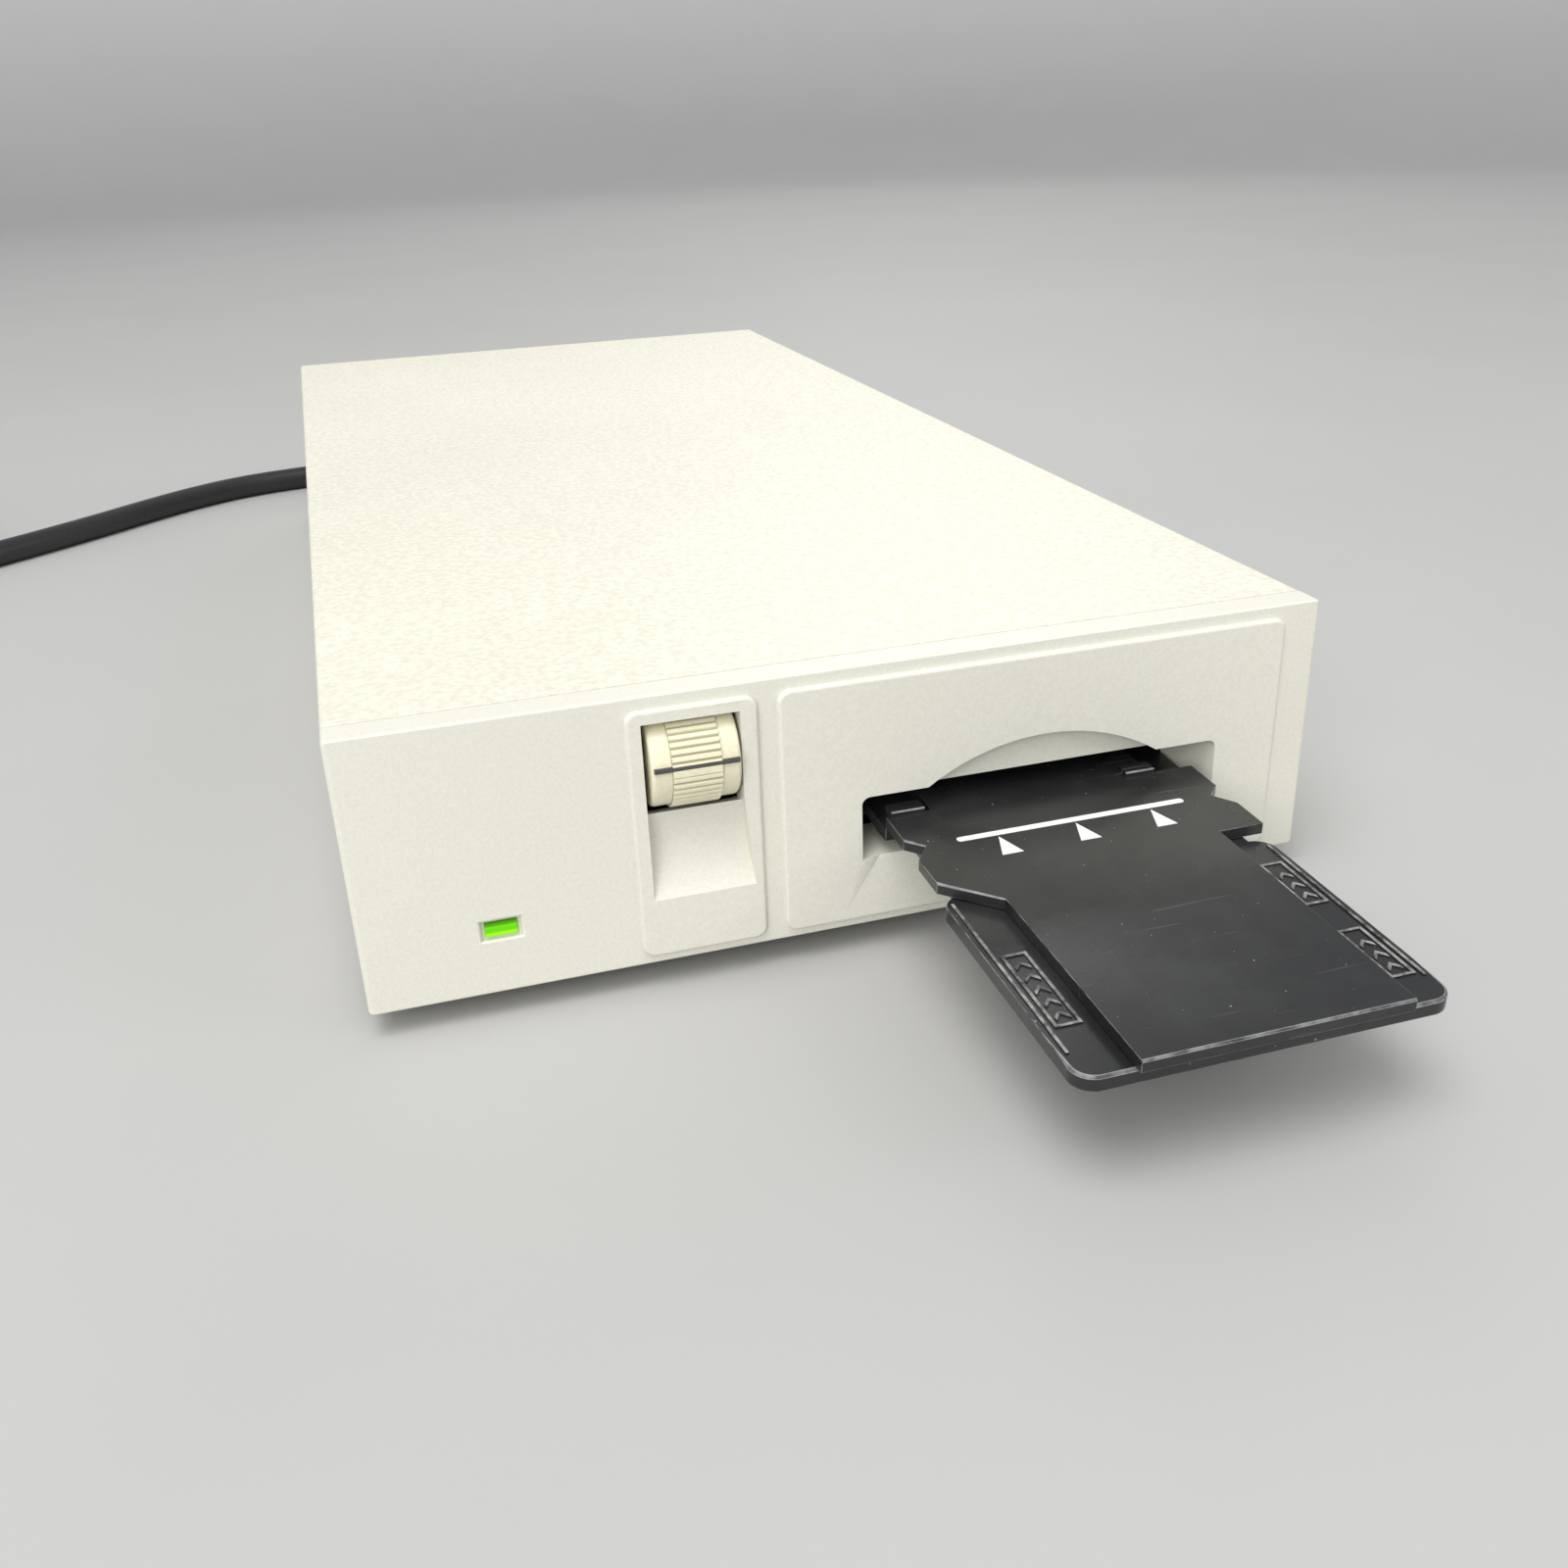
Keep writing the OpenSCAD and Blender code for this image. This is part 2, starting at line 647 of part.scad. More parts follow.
module rubber_feet() {
  color(black) for (p = foot_at) translate([p[0], fy(p[1]), 0]) {
    cylinder(h = foot_h, r1 = foot_d / 2 - 0.8, r2 = foot_d / 2);
  }
}

fan_holes = [for (x = [-1, 1], z = [-1, 1])
  [fan_at[0] + x * (fan_side / 2 - 3), fan_at[1] + z * (fan_side / 2 - 3)]];
base_screw_x = [bridge_x0 + 3.3, in_x - 7.9];
pan_screws = [
  [base_screw_x[0], 20], [base_screw_x[1], 50], [base_screw_x[0], motor_y + 7.5], [base_screw_x[1], 190]
];

module case_screws() {
  color(steel) {
    for (s = fan_holes) back_screw(s, case_d, pan_wall + 4);
    for (x = [-tab_x, tab_x]) back_screw([x, in_top - 3.2], case_d, pan_wall + 4);
    for (p = pan_screws) {
      difference() {
        bar_z(p[0], p[1], [-head_t, 0], head_r);
        for (arm = [[cross_l, cross_w], [cross_w, cross_l]])
          span([p[0] - arm[0] / 2, p[0] + arm[0] / 2], [p[1] - arm[1] / 2, p[1] + arm[1] / 2],
            [-head_t - e, cross_t - head_t]);
      }
      bar_z(p[0], p[1], [-0.01, pan_wall + optic_t], screw_r);
    }
  }
}

// ---------- status light ----------

status_y = bezel_wall + 5;

module status_lens() {
  color([0.35, 0.95, 0.3]) {
    span([lens_x - lens_w / 2 + 0.05, lens_x + lens_w / 2 - 0.05], [lens_sink - 0.5, bezel_wall + e],
      [lens_z - lens_h / 2 + 0.05, lens_z + lens_h / 2 - 0.05]);
    span([lens_x - lens_w / 2 - 0.8, lens_x + lens_w / 2 + 0.8], [bezel_wall, status_y],
      [lens_z - lens_h / 2 - 0.8, lens_z + lens_h / 2 + 0.8]);
  }
}

module status_board() {
  color(board_green)
    span([lens_x - 12, lens_x + 12], [status_y, status_y + board_t], [lens_z - 5, lens_z + 6]);
}

// ---------- focus drive ----------

module wheel_bracket() {
  r = axle_r + press_fit;
  z = [wheel_z - 5.4, wheel_z + 3.6];
  color(black) difference() {
    union() {
      span([cheek_x0, cheek_x0 + cheek_t], [bezel_wall, web_y + 2], z);
      span([cheek_x1, cheek_x1 + cheek_t], [bezel_wall, web_y + 2], z);
      span([cheek_x0, cheek_x1 + cheek_t], [web_y, web_y + 2], z);
      span([cheek_x0 - 4, cheek_x0 + e], [bezel_wall, bezel_wall + 2.4], z);
      span([cheek_x1 + cheek_t - e, cheek_x1 + cheek_t + 4], [bezel_wall, bezel_wall + 2.4], z);
      // fork that guides the focus rod
      span([gear_x0 - 3, gear_x0], [web_y, web_y + 2], [z[1] - e, rod_bar_z1]);
      span([gear_x1 + 0.4, cheek_x1 + cheek_t], [web_y, web_y + 2], [z[1] - e, rod_bar_z1]);
    }
    bar_x([cheek_x0 - e, cheek_x1 + cheek_t + e], wheel_y, wheel_z, r);
    bar_x([cheek_x1 - e, cheek_x1 + cheek_t + e], idler_y, wheel_z, r);
  }
}

module wheel_axle() {
  color(steel) bar_x([cheek_x0, cheek_x1 + cheek_t], wheel_y, wheel_z, axle_r);
}

module idler_stud() {
  color(steel) bar_x([idler_x0, cheek_x1 + cheek_t], idler_y, wheel_z, axle_r);
}

// The band's ribs stop on both sides of the index line, which faces the front
module rib_outline() {
  step = 360 / rib_count;
  polygon([for (i = [0:rib_count - 1]) each
    (i == 0 ? [polar(wheel_r, 180 - step / 2), polar(wheel_r, 180), polar(wheel_r, 180 + step / 2.1)]
     : [polar(wheel_r - rib_depth, 180 + (i - 0.45) * step), polar(wheel_r, 180 + (i - 0.22) * step),
        polar(wheel_r, 180 + (i + 0.22) * step), polar(wheel_r - rib_depth, 180 + (i + 0.45) * step)])]);
}

module focus_wheel() {
  mid = (wheel_x0 + wheel_x1) / 2;
  color([0.93, 0.9, 0.76]) {
    difference() {
      union() {
        bar_x([wheel_x0, wheel_x1], wheel_y, wheel_z, wheel_r - rib_depth - 0.1);
        translate([mid - rib_band_w / 2, fy(wheel_y), bz(wheel_z)]) rotate([90, 0, 90])
          linear_extrude(rib_band_w) rib_outline();
      }
      bar_x([wheel_x0 - e, wheel_x1 + e], wheel_y, wheel_z, axle_r + run_fit);
    }
  }
}

module wheel_pinion() {
  color([0.85, 0.83, 0.78]) difference() {
    translate([gear_x0, fy(wheel_y), bz(wheel_z)]) rotate([90, 0, 90])
      linear_extrude(gear_w) spur(pinion_n, pinion_r, 0);
    bar_x([gear_x0 - e, gear_x1 + e], wheel_y, wheel_z, axle_r + run_fit);
  }
}

module idler_gear() {
  color([0.85, 0.83, 0.78]) difference() {
    translate([idler_x0, fy(idler_y), bz(wheel_z)]) rotate([90, 0, 90])
      linear_extrude(gear_x1 - idler_x0) spur(idler_n, idler_r, 180 / idler_n);
    bar_x([idler_x0 - e, gear_x1 + e], idler_y, wheel_z, axle_r + run_fit);
  }
}

// The rod's front end is a rack over the idler; its back end carries the lens block's arm.
module focus_rod() {
  pitch = PI * gear_m;
  zp = wheel_z + idler_r;
  half = pitch / 4 - gear_play / 2;
  slope = tan(20);
  teeth = floor((focus_reach + pitch) / pitch);
  y0 = idler_y - (teeth + 0.5) * pitch + half;
  color(steel) side_plate(idler_x0, gear_x1) polygon(concat(
    [[leg_y + 6, rod_bar_z1], [y0, rod_bar_z1], [y0, rod_bar_z0]],
    [for (k = [-teeth:teeth]) each [
      [idler_y + k * pitch - half - gear_ded * slope, zp + gear_ded],
      [idler_y + k * pitch - half + gear_add * slope, zp - gear_add],
      [idler_y + k * pitch + half - gear_add * slope, zp - gear_add],
      [idler_y + k * pitch + half + gear_ded * slope, zp + gear_ded]
    ]],
    [[leg_y + 6, rod_bar_z0]]
  ));
}

module lens_carriage() {
  top = axis_z + barrel_r + 1;
  color("lightgray") difference() {
    union() {
      span([slot_x - block_half, slot_x + block_half], [lens_y - block_l / 2, lens_y + block_l / 2],
        [optic_top + 0.8, top]);
      span([slot_x - block_half, slot_x - block_half + 4], [leg_y, leg_y + 5], [top - e, rod_bar_z0]);
      span([idler_x0, slot_x - block_half + 4], [leg_y, leg_y + 5], [rod_bar_z0 - 2, rod_bar_z0]);
    }
    bar_y(slot_x, [lens_y - 20, lens_y + 20], axis_z, barrel_r + press_fit);
    for (s = [-1, 1])
      bar_y(slot_x + s * slide_dx, [lens_y - 20, lens_y + 20], axis_z, slide_rod_r + run_fit);
  }
}

module lens_barrel() {
  y = [lens_y - barrel_l / 2, lens_y + barrel_l / 2];
  color(black) difference() {
    union() {
      bar_y(slot_x, y, axis_z, barrel_r);
      bar_y(slot_x, [y[0], y[0] + 3], axis_z, barrel_r + 0.4);
    }
    bar_y(slot_x, [y[0] - e, y[1] + e], axis_z, barrel_r - 1.6);
    bar_y(slot_x, [y[0] - e, y[0] + 5], axis_z, barrel_r - 1);
  }
}

module lens_glass() {
  y = lens_y - barrel_l / 2;
  r = barrel_r - 1 - press_fit;
  color([0.75, 0.85, 0.95, 0.5]) intersection() {
    bar_y(slot_x, [y, y + 5], axis_z, r);
    translate([slot_x, fy(y + 1 + 2.2 * r), bz(axis_z)]) sphere(2.2 * r);
  }
}

// ---------- film holder ----------

// Side notches that grip the holder, cut to both sides of the plate
module notch_cut(w0, w1) {
  for (s = [-1, 1]) translate([0, 0, w0]) linear_extrude(w1 - w0)
    polygon([[s * (holder_w / 2 + 1), -6.6], [s * holder_w / 2, -7.6], [s * (holder_w / 2 - 2.4), -10.05],
      [s * holder_w / 2, -13.4], [s * (holder_w / 2 + 1), -14.4]]);
}

// Side of each frame of arrows, with its outer and inner end along the holder
arrow_frames = [[-1, -51.9, -36.3], [1, -56, -45], [1, -38.5, -27.5]];

// A ridge along the outer edge of each wing, and framed arrows that point to the slot
module wing_lines() {
  for (s = [-1, 1]) translate([s * (holder_w / 2 - 1) - wing_line / 2, 6 - holder_out])
    square([wing_line, holder_out + ear_v0 - 9]);
  for (f = arrow_frames) translate([f[0] * (holder_w / 2 - 1.8 - arrow_w / 2), f[1]]) {
    l = f[2] - f[1];
    difference() {
      translate([-arrow_w / 2, 0]) square([arrow_w, l]);
      translate([-arrow_w / 2 + wing_line, wing_line]) square([arrow_w - 2 * wing_line, l - 2 * wing_line]);
    }
    for (v = [2 : 2.7 : l - 2]) translate([0, v])
      polygon([[-1, -0.8], [0, 0.3], [1, -0.8], [1, -0.1], [0, 1], [-1, -0.1]]);
  }
}

module holder_base() {
  half = holder_w / 2;
  out = clip_over - holder_out;
  color(black) in_holder() {
    difference() {
      translate([0, 0, base_low]) linear_extrude(base_t) {
        round_rect(-half, out, half, ear_v0 - 1, 3);
        translate([-half + 2.8, ear_v0 - 3]) square([holder_w - 5.6, ear_v1 - ear_v0 + 5]);
        translate([-half, ear_v1]) square([holder_w, holder_in - ear_v1]);
      }
      // window for the light, bed for the strip, and room for the cover's knuckle
      translate([-window_w / 2, frame_v - window_l / 2, base_low - e])
        cube([window_w, window_l, base_t + 2 * e]);
      translate([-bed_w / 2, ear_v0, base_top - bed_t])
        cube([bed_w, frame_v + 19 - ear_v0 - 3, bed_t + e]);
      translate([-knuckle_u - 0.3, hinge_v - knuckle_r - 0.4, base_low - e])
        cube([2 * knuckle_u + 0.6, 2 * knuckle_r + 0.8, base_t + 2 * e]);
    }
    translate([0, 0, base_top - 0.01]) linear_extrude(wing_line_t + 0.01) wing_lines();
    // knuckles that hold the pin
    for (s = [-1, 1]) difference() {
      union() {
        translate([s > 0 ? knuckle_u + 0.3 : -knuckle_u - 3.6, hinge_v, hinge_w]) rotate([0, 90, 0])
          cylinder(h = 3.3, r = knuckle_r);
        translate([s > 0 ? knuckle_u + 0.3 : -knuckle_u - 3.6, hinge_v - knuckle_r, base_top - e])
          cube([3.3, 2 * knuckle_r, hinge_w - base_top + e]);
      }
      translate([-half, hinge_v, hinge_w]) rotate([0, 90, 0])
        cylinder(h = holder_w, r = hinge_pin_r + press_fit);
    }
  }
}

module holder_hinge_pin() {
  color(steel) in_holder() translate([-knuckle_u - 3.4, hinge_v, hinge_w]) rotate([0, 90, 0])
    cylinder(h = 2 * knuckle_u + 6.8, r = hinge_pin_r);
}

// The plate carries two ears at the slot; its left shoulder is cut at a slant, its right one square.
module holder_cover() {
  half = clip_w / 2;
  color(black) in_holder() difference() {
    union() {
      translate([0, 0, -clip_t]) linear_extrude(clip_t) {
        translate([-half, -holder_out]) square([clip_w, hinge_v - knuckle_r - 0.6 + holder_out]);
        polygon([[-holder_w / 2, ear_v1], [holder_w / 2, ear_v1], [holder_w / 2, ear_v0], [half - e, ear_v0],
          [half - e, ear_v0 - 7], [-half + e, ear_v0 - 7], [-holder_w / 2, ear_v0]]);
        translate([-knuckle_u, hinge_v - knuckle_r - 1]) square([2 * knuckle_u, knuckle_r + 1]);
      }
      translate([-knuckle_u, hinge_v, hinge_w]) rotate([0, 90, 0])
        cylinder(h = 2 * knuckle_u, r = knuckle_r);
    }
    notch_cut(-clip_t - e, e);
    translate([-window_w / 2, frame_v - window_l / 2, -clip_t - e])
      cube([window_w, window_l, clip_t + 2 * e]);
    translate([-half, hinge_v, hinge_w]) rotate([0, 90, 0])
      cylinder(h = clip_w, r = hinge_pin_r + run_fit);
  }
}

// ---------- film carriage ----------

module film_carriage() {
  y = [car_y0, car_y0 + carriage_l];
  z = [car_z0, car_z0 + carriage_h];
  open_u = clip_w / 2 + 1.5;
  lug_z = [rod_z - lug_r, rod_z + lug_r];
  color([0.16, 0.16, 0.17]) difference() {
    union() {
      span([slot_x - car_half, slot_x + car_half], y, z);
      for (b = bush_y) {
        span([rod_x[0] - lug_r, slot_x - car_half + e], [b, b + bush_l], lug_z);
        span([slot_x + car_half - e, rod_x[1] + lug_r], [b, b + bush_l], lug_z);
      }
      span([screw_x - nut_r - 1.4, slot_x - car_half + e], [nut_y, nut_y + nut_l], lug_z);
    }
    // channel of the holder, parallel to its pitch and closed at the inner end
    in_holder() {
      translate([-holder_w / 2 - channel_gap, 0, base_low - channel_gap])
        cube([holder_w + 2 * channel_gap, holder_in + holder_push + 0.8, base_t + 2 * channel_gap]);
      translate([-open_u, 0, base_low - channel_gap])
        cube([2 * open_u, holder_in + holder_push + 0.8, 20]);
      for (s = [-1, 1]) translate([s * (open_u + 3.2) - 1.6, 44, base_top]) cube([3.2, 10, 20]);
    }
    span([slot_x - open_u - 1, slot_x + open_u + 1], [y[0] + 4, y[1] - 5], [z[0] - e, rod_z - 1]);
    for (b = bush_y, x = rod_x) bar_y(x, [b - e, b + bush_l + e], rod_z, bush_r + press_fit);
    bar_y(rod_x[0], [nut_y - e, nut_y + nut_l + e], rod_z, rod_r + 0.5);
    bar_y(screw_x, [nut_y - e, nut_y + nut_l + e], rod_z, nut_r + press_fit);
  }
}

module carriage_bushes() {
  color(brass) for (b = bush_y, x = rod_x) difference() {
    bar_y(x, [b, b + bush_l], rod_z, bush_r);
    bar_y(x, [b - e, b + bush_l + e], rod_z, rod_r + run_fit);
  }
}

module drive_nut() {
  color(brass) difference() {
    bar_y(screw_x, [nut_y, nut_y + nut_l], rod_z, nut_r);
    bar_y(screw_x, [nut_y - e, nut_y + nut_l + e], rod_z, screw_d / 2 + run_fit);
  }
}

// Strips on the channel's lips, each with a foot that holds the base plate down
module holder_springs() {
  u = clip_w / 2 + 1.5 + 3.2;
  top = car_z0 + carriage_h;
  color(brass) {
    for (s = [-1, 1]) {
      span([slot_x + s * u - 1.2, slot_x + s * u + 1.2], [34, 64], [top, top + 0.3]);
      intersection() {
        in_holder() translate([s * u - 1.2, 46, base_top + 0.15]) cube([2.4, 6, 20]);
        span([slot_x - 40, slot_x + 40], [30, 70], [0, top + 0.2]);
      }
    }
  }
}

// The thread is drawn as rings at the screw's pitch.
module lead_screw() {
  r = screw_d / 2;
  root = r - 0.45;
  y = [post_y, rear_post_y + post_t + 1];
  n = floor((rear_post_y - post_y - post_t - 2) / screw_pitch);
  y_thread = post_y + post_t + 1;
  color(steel) translate([screw_x, fy(0), bz(rod_z)]) rotate([-90, 0, 0]) rotate_extrude()
    polygon(concat(
      [[0, y[0]], [2, y[0]], [2, y_thread], [root, y_thread]],
      [for (i = [0:n - 1]) each [
        [r, y_thread + (i + 0.25) * screw_pitch], [r, y_thread + (i + 0.55) * screw_pitch],
        [root, y_thread + (i + 0.8) * screw_pitch]]],
      [[root, y_thread + n * screw_pitch], [2, y_thread + n * screw_pitch], [2, motor_y + 2], [0, motor_y + 2]]
    ));
}

module screw_bush() {
  color(brass) difference() {
    bar_y(screw_x, [post_y, post_y + post_t], rod_z, 3.4);
    bar_y(screw_x, [post_y - e, post_y + post_t + e], rod_z, 2 + run_fit);
  }
}

module guide_rods() {
  color(steel) for (x = rod_x) bar_y(x, [post_y, rear_post_y + post_t], rod_z, rod_r);
}

// ---------- optics ----------

lens_post = [lens_y - block_l / 2 - focus_reach - 4.6, lens_y + block_l / 2 + focus_reach + 0.6];
wedge_h = 7.6;

module optical_base() {
  x = [bridge_x0 - 1, in_x - pan_wall - 0.4];
  post_z = [optic_top - e, rod_z + 4];
  color("gray") difference() {
    union() {
      span(x, [shell_y + tongue_len + 0.6, motor_y + motor_l], [pan_top, optic_top]);
      span([slot_x - 27, x[1]], [motor_y, sensor_y + 6], [pan_top, optic_top]);
      // posts of the guide rods and the lead screw
      span([screw_x - 4.6, rod_x[0] + 4], [post_y, post_y + post_t], post_z);
      span([rod_x[1] - 4, rod_x[1] + 4], [post_y, post_y + post_t], post_z);
      span([rod_x[0] - 4, rod_x[0] + 4], [rear_post_y, rear_post_y + post_t], post_z);
      span([rod_x[1] - 4, rod_x[1] + 4], [rear_post_y, rear_post_y + post_t], post_z);
      // wall that the motor hangs on
      span([screw_x - motor_d / 2, rod_x[0] + 4], [rear_post_y + post_t - 0.5, motor_y],
        [optic_top - e, rod_z + motor_d / 2]);
      // posts of the lens rods
      for (s = [-1, 1], y = lens_post)
        span([slot_x + s * slide_dx - 3.2, slot_x + s * slide_dx + 3.2], [y, y + 4],
          [optic_top - e, axis_z + 3.2]);
      // slope under the mirror, and the sensor's wall
      side_plate(slot_x - 16, slot_x + 16) polygon([
        [scan_y - wedge_h / 2, optic_top - e], [scan_y + wedge_h / 2, optic_top - e],
        [scan_y + wedge_h / 2, axis_z - wedge_h / 2], [scan_y - wedge_h / 2, axis_z + wedge_h / 2]
      ]);
      span([slot_x - 24, slot_x + 24], [sensor_y, sensor_y + 3], [optic_top - e, 30]);
    }
    for (x = rod_x, y = [post_y, rear_post_y])
      bar_y(x, [y - e, y + post_t + e], rod_z, rod_r + press_fit);
    bar_y(screw_x, [post_y - e, post_y + post_t + e], rod_z, 3.4 + press_fit);
    bar_y(screw_x, [rear_post_y, motor_y + e], rod_z, 4.5);
    for (s = [-1, 1], y = lens_post)
      bar_y(slot_x + s * slide_dx, [y - e, y + 4 + e], axis_z, slide_rod_r + press_fit);
    span([slot_x - 12, slot_x + 12], [sensor_y - e, sensor_y + 3 + e], [16, 26]);
    for (p = pan_screws) bar_z(p[0], p[1], [pan_top - e, optic_top + e], hole_r);
    for (p = foot_at) bar_z(p[0], p[1], [pan_top - e, optic_top + e], foot_d / 2 - 3);
  }
}

module lens_rods() {
  color(steel) for (s = [-1, 1])
    bar_y(slot_x + s * slide_dx, [lens_post[0], lens_post[1] + 4], axis_z, slide_rod_r);
}

module scan_motor() {
  color(steel) difference() {
    union() {
      bar_y(screw_x, [motor_y, motor_y + motor_l], rod_z, motor_d / 2);
      bar_y(screw_x, [rear_post_y + post_t, motor_y + e], rod_z, 4.4);
    }
    bar_y(screw_x, [motor_y - 6, motor_y + 3], rod_z, 2 + run_fit);
  }
}

module lamp_bridge() {
  z = [optic_top, lamp_z + lamp_h + bridge_t];
  y = [bridge_y, bridge_y + bridge_l];
  color(steel) {
    span([bridge_x0, bridge_x1], y, [z[1] - bridge_t, z[1]]);
    span([bridge_x0, bridge_x0 + bridge_t], y, [z[0], z[1] - bridge_t + e]);
    span([bridge_x1 - bridge_t, bridge_x1], y, [z[0], z[1] - bridge_t + e]);
  }
}

module lamp_block() {
  color(black) difference() {
    span([slot_x - 22, slot_x + 22], [bridge_y, bridge_y + bridge_l], [lamp_z, lamp_z + lamp_h]);
    r = light_rod_d / 2 + press_fit;
    span([slot_x - 19, slot_x + 19], [scan_y - r, scan_y + r], [lamp_z - e, lamp_z + light_rod_d]);
  }
}

module light_rod() {
  color([0.9, 0.95, 1, 0.5])
    bar_x([slot_x - 19, slot_x + 19], scan_y, lamp_z + light_rod_d / 2, light_rod_d / 2);
}

module fold_mirror() {
  d = mirror_t * sqrt(2);
  h = wedge_h / 2;
  color("lightcyan") side_plate(slot_x - 15, slot_x + 15) polygon([
    [scan_y + h, axis_z - h], [scan_y + h, axis_z - h + d],
    [scan_y - h + d, axis_z + h], [scan_y - h, axis_z + h]
  ]);
}

module sensor_board() {
  color(board_green)
    span([slot_x - 24, slot_x + 24], [sensor_y - board_t, sensor_y], [optic_top + 0.4, 30]);
}

module line_sensor() {
  color([0.3, 0.25, 0.25])
    span([slot_x - 19, slot_x + 19], [sensor_y - board_t - 3, sensor_y - board_t], [axis_z - 5, axis_z + 5]);
}

// ---------- boards ----------

main_holes = [for (x = [main_x[0] + 5, main_x[1] - 5], y = [main_y[0] + 5, main_y[1] - 5]) [x, y]];
power_holes = [for (x = [power_x[0] + 5, power_x[1] - 5], y = [power_y[0] + 5, power_y[1] - 5]) [x, y]];

module drilled_board(x, y, holes) {
  color(board_green) difference() {
    span(x, y, [board_z, board_z + board_t]);
    for (p = holes) bar_z(p[0], p[1], [board_z - e, board_z + board_t + e], 1.6);
  }
}

module main_board() {
  drilled_board(main_x, main_y, main_holes);
}

module power_board() {
  drilled_board(power_x, power_y, power_holes);
}

module board_standoffs() {
  color(brass) for (p = concat(main_holes, power_holes)) {
    bar_z(p[0], p[1], [pan_top, board_z], 3);
    bar_z(p[0], p[1], [board_z - 0.01, board_z + board_t + 1.4], 1.5);
  }
}

chip_side = 18;

module board_chips() {
  top = board_z + board_t;
  color(black) {
    for (i = [0:2]) {
      y = main_y[0] + 16 + i * (chip_side + 12);
      span([main_x[0] + 5, main_x[0] + 5 + chip_side], [y, y + chip_side], [top, top + 3.4]);
    }
    for (i = [0:3]) {
      y = main_y[1] - 42 + i * 8;
      span([main_x[0] + 9, main_x[0] + 19], [y, y + 5], [top, top + 4]);
    }
  }
}

part_top = board_z + board_t;

module power_transformer() {
  x = power_x[0] + 24;
  y = power_y[0] + 14;
  color([0.75, 0.6, 0.2]) {
    span([x, x + 24], [y + 4, y + 22], [part_top, part_top + 20]);
    span([x + 4, x + 20], [y, y + 26], [part_top + 2, part_top + 18]);
  }
}

module power_capacitors() {
  color([0.1, 0.12, 0.3]) {
    for (i = [0:1]) bar_z(power_x[0] + 15, power_y[0] + 20 + i * 20, [part_top, part_top + cap_h], 8);
    for (i = [0:2]) bar_z(power_x[1] - 12 - i * 10, power_y[1] - 14, [part_top, part_top + 14], 4);
  }
}

module heat_sink() {
  x = power_x[1] - 3;
  color(black) {
    span([x, x + 2], [power_y[0] + 12, power_y[1] - 12], [part_top, part_top + sink_h]);
    for (i = [0:4])
      span([x - 5, x + e], [power_y[0] + 16 + i * 7, power_y[0] + 17.5 + i * 7],
        [part_top + 2, part_top + sink_h]);
  }
}

// ---------- back ----------

fan_y = panel_in_y - fan_t;
hub_r = 5.6;

module fan_frame() {
  half = fan_side / 2;
  color(black) difference() {
    union() {
      difference() {
        span([fan_at[0] - half, fan_at[0] + half], [fan_y, panel_in_y], [fan_at[1] - half, fan_at[1] + half]);
        bar_y(fan_at[0], [fan_y - e, panel_in_y + e], fan_at[1], half - 1.2);
      }
      for (a = [0:120:240]) translate([fan_at[0], fan_y + front_y, bz(fan_at[1])]) rotate([0, a, 0])
        translate([0, 0, -1]) cube([half - 0.8, 1.4, 2]);
      bar_y(fan_at[0], [fan_y, fan_y + 1.4], fan_at[1], hub_r);
      bar_y(fan_at[0], [fan_y, fan_y + fan_t - 2.6], fan_at[1], 1);
    }
    for (s = fan_holes) bar_y(s[0], [fan_y - e, panel_in_y + e], s[1], hole_r);
  }
}

module fan_rotor() {
  y = [fan_y + 1.8, panel_in_y - 1];
  color([0.15, 0.15, 0.16]) difference() {
    union() {
      bar_y(fan_at[0], y, fan_at[1], hub_r);
      for (a = [0:360 / 7:359]) translate([fan_at[0], fy((y[0] + y[1]) / 2), bz(fan_at[1])])
        rotate([0, a, 0]) translate([hub_r - 0.8, 0, 0]) rotate([40, 0, 0])
          translate([0, -3.6, -0.4]) cube([fan_side / 2 - hub_r - 1.3, 7.2, 0.8]);
    }
    bar_y(fan_at[0], [y[0] - e, y[1] - 1], fan_at[1], 1 + run_fit);
  }
}

module mains_inlet() {
  x = inlet_at[0];
  z = inlet_at[1];
  color(black) {
    difference() {
      union() {
        span([x - inlet_w / 2 - 1.3, x + inlet_w / 2 + 1.3], [case_d + 2 - inlet_depth - 4, case_d + e],
          [z - inlet_h / 2 - 1.3, z + inlet_h / 2 + 1.3]);
        face_plate(case_d, case_d + 2)
          round_rect(x - inlet_w / 2 - 3, z - inlet_h / 2 - 3, x + inlet_w / 2 + 3, z + inlet_h / 2 + 3, 2);
      }
      span([x - inlet_w / 2, x + inlet_w / 2], [case_d + 2 - inlet_depth, case_d + 2 + e],
        [z - inlet_h / 2, z + inlet_h / 2]);
    }
    for (p = [[-7, 0], [0, 3.5], [7, 0]])
      span([x + p[0] - 1, x + p[0] + 1], [case_d + 1.9 - inlet_depth, case_d], [z + p[1] - 2, z + p[1] + 2]);
  }
}

pivot_y = case_d - 1;

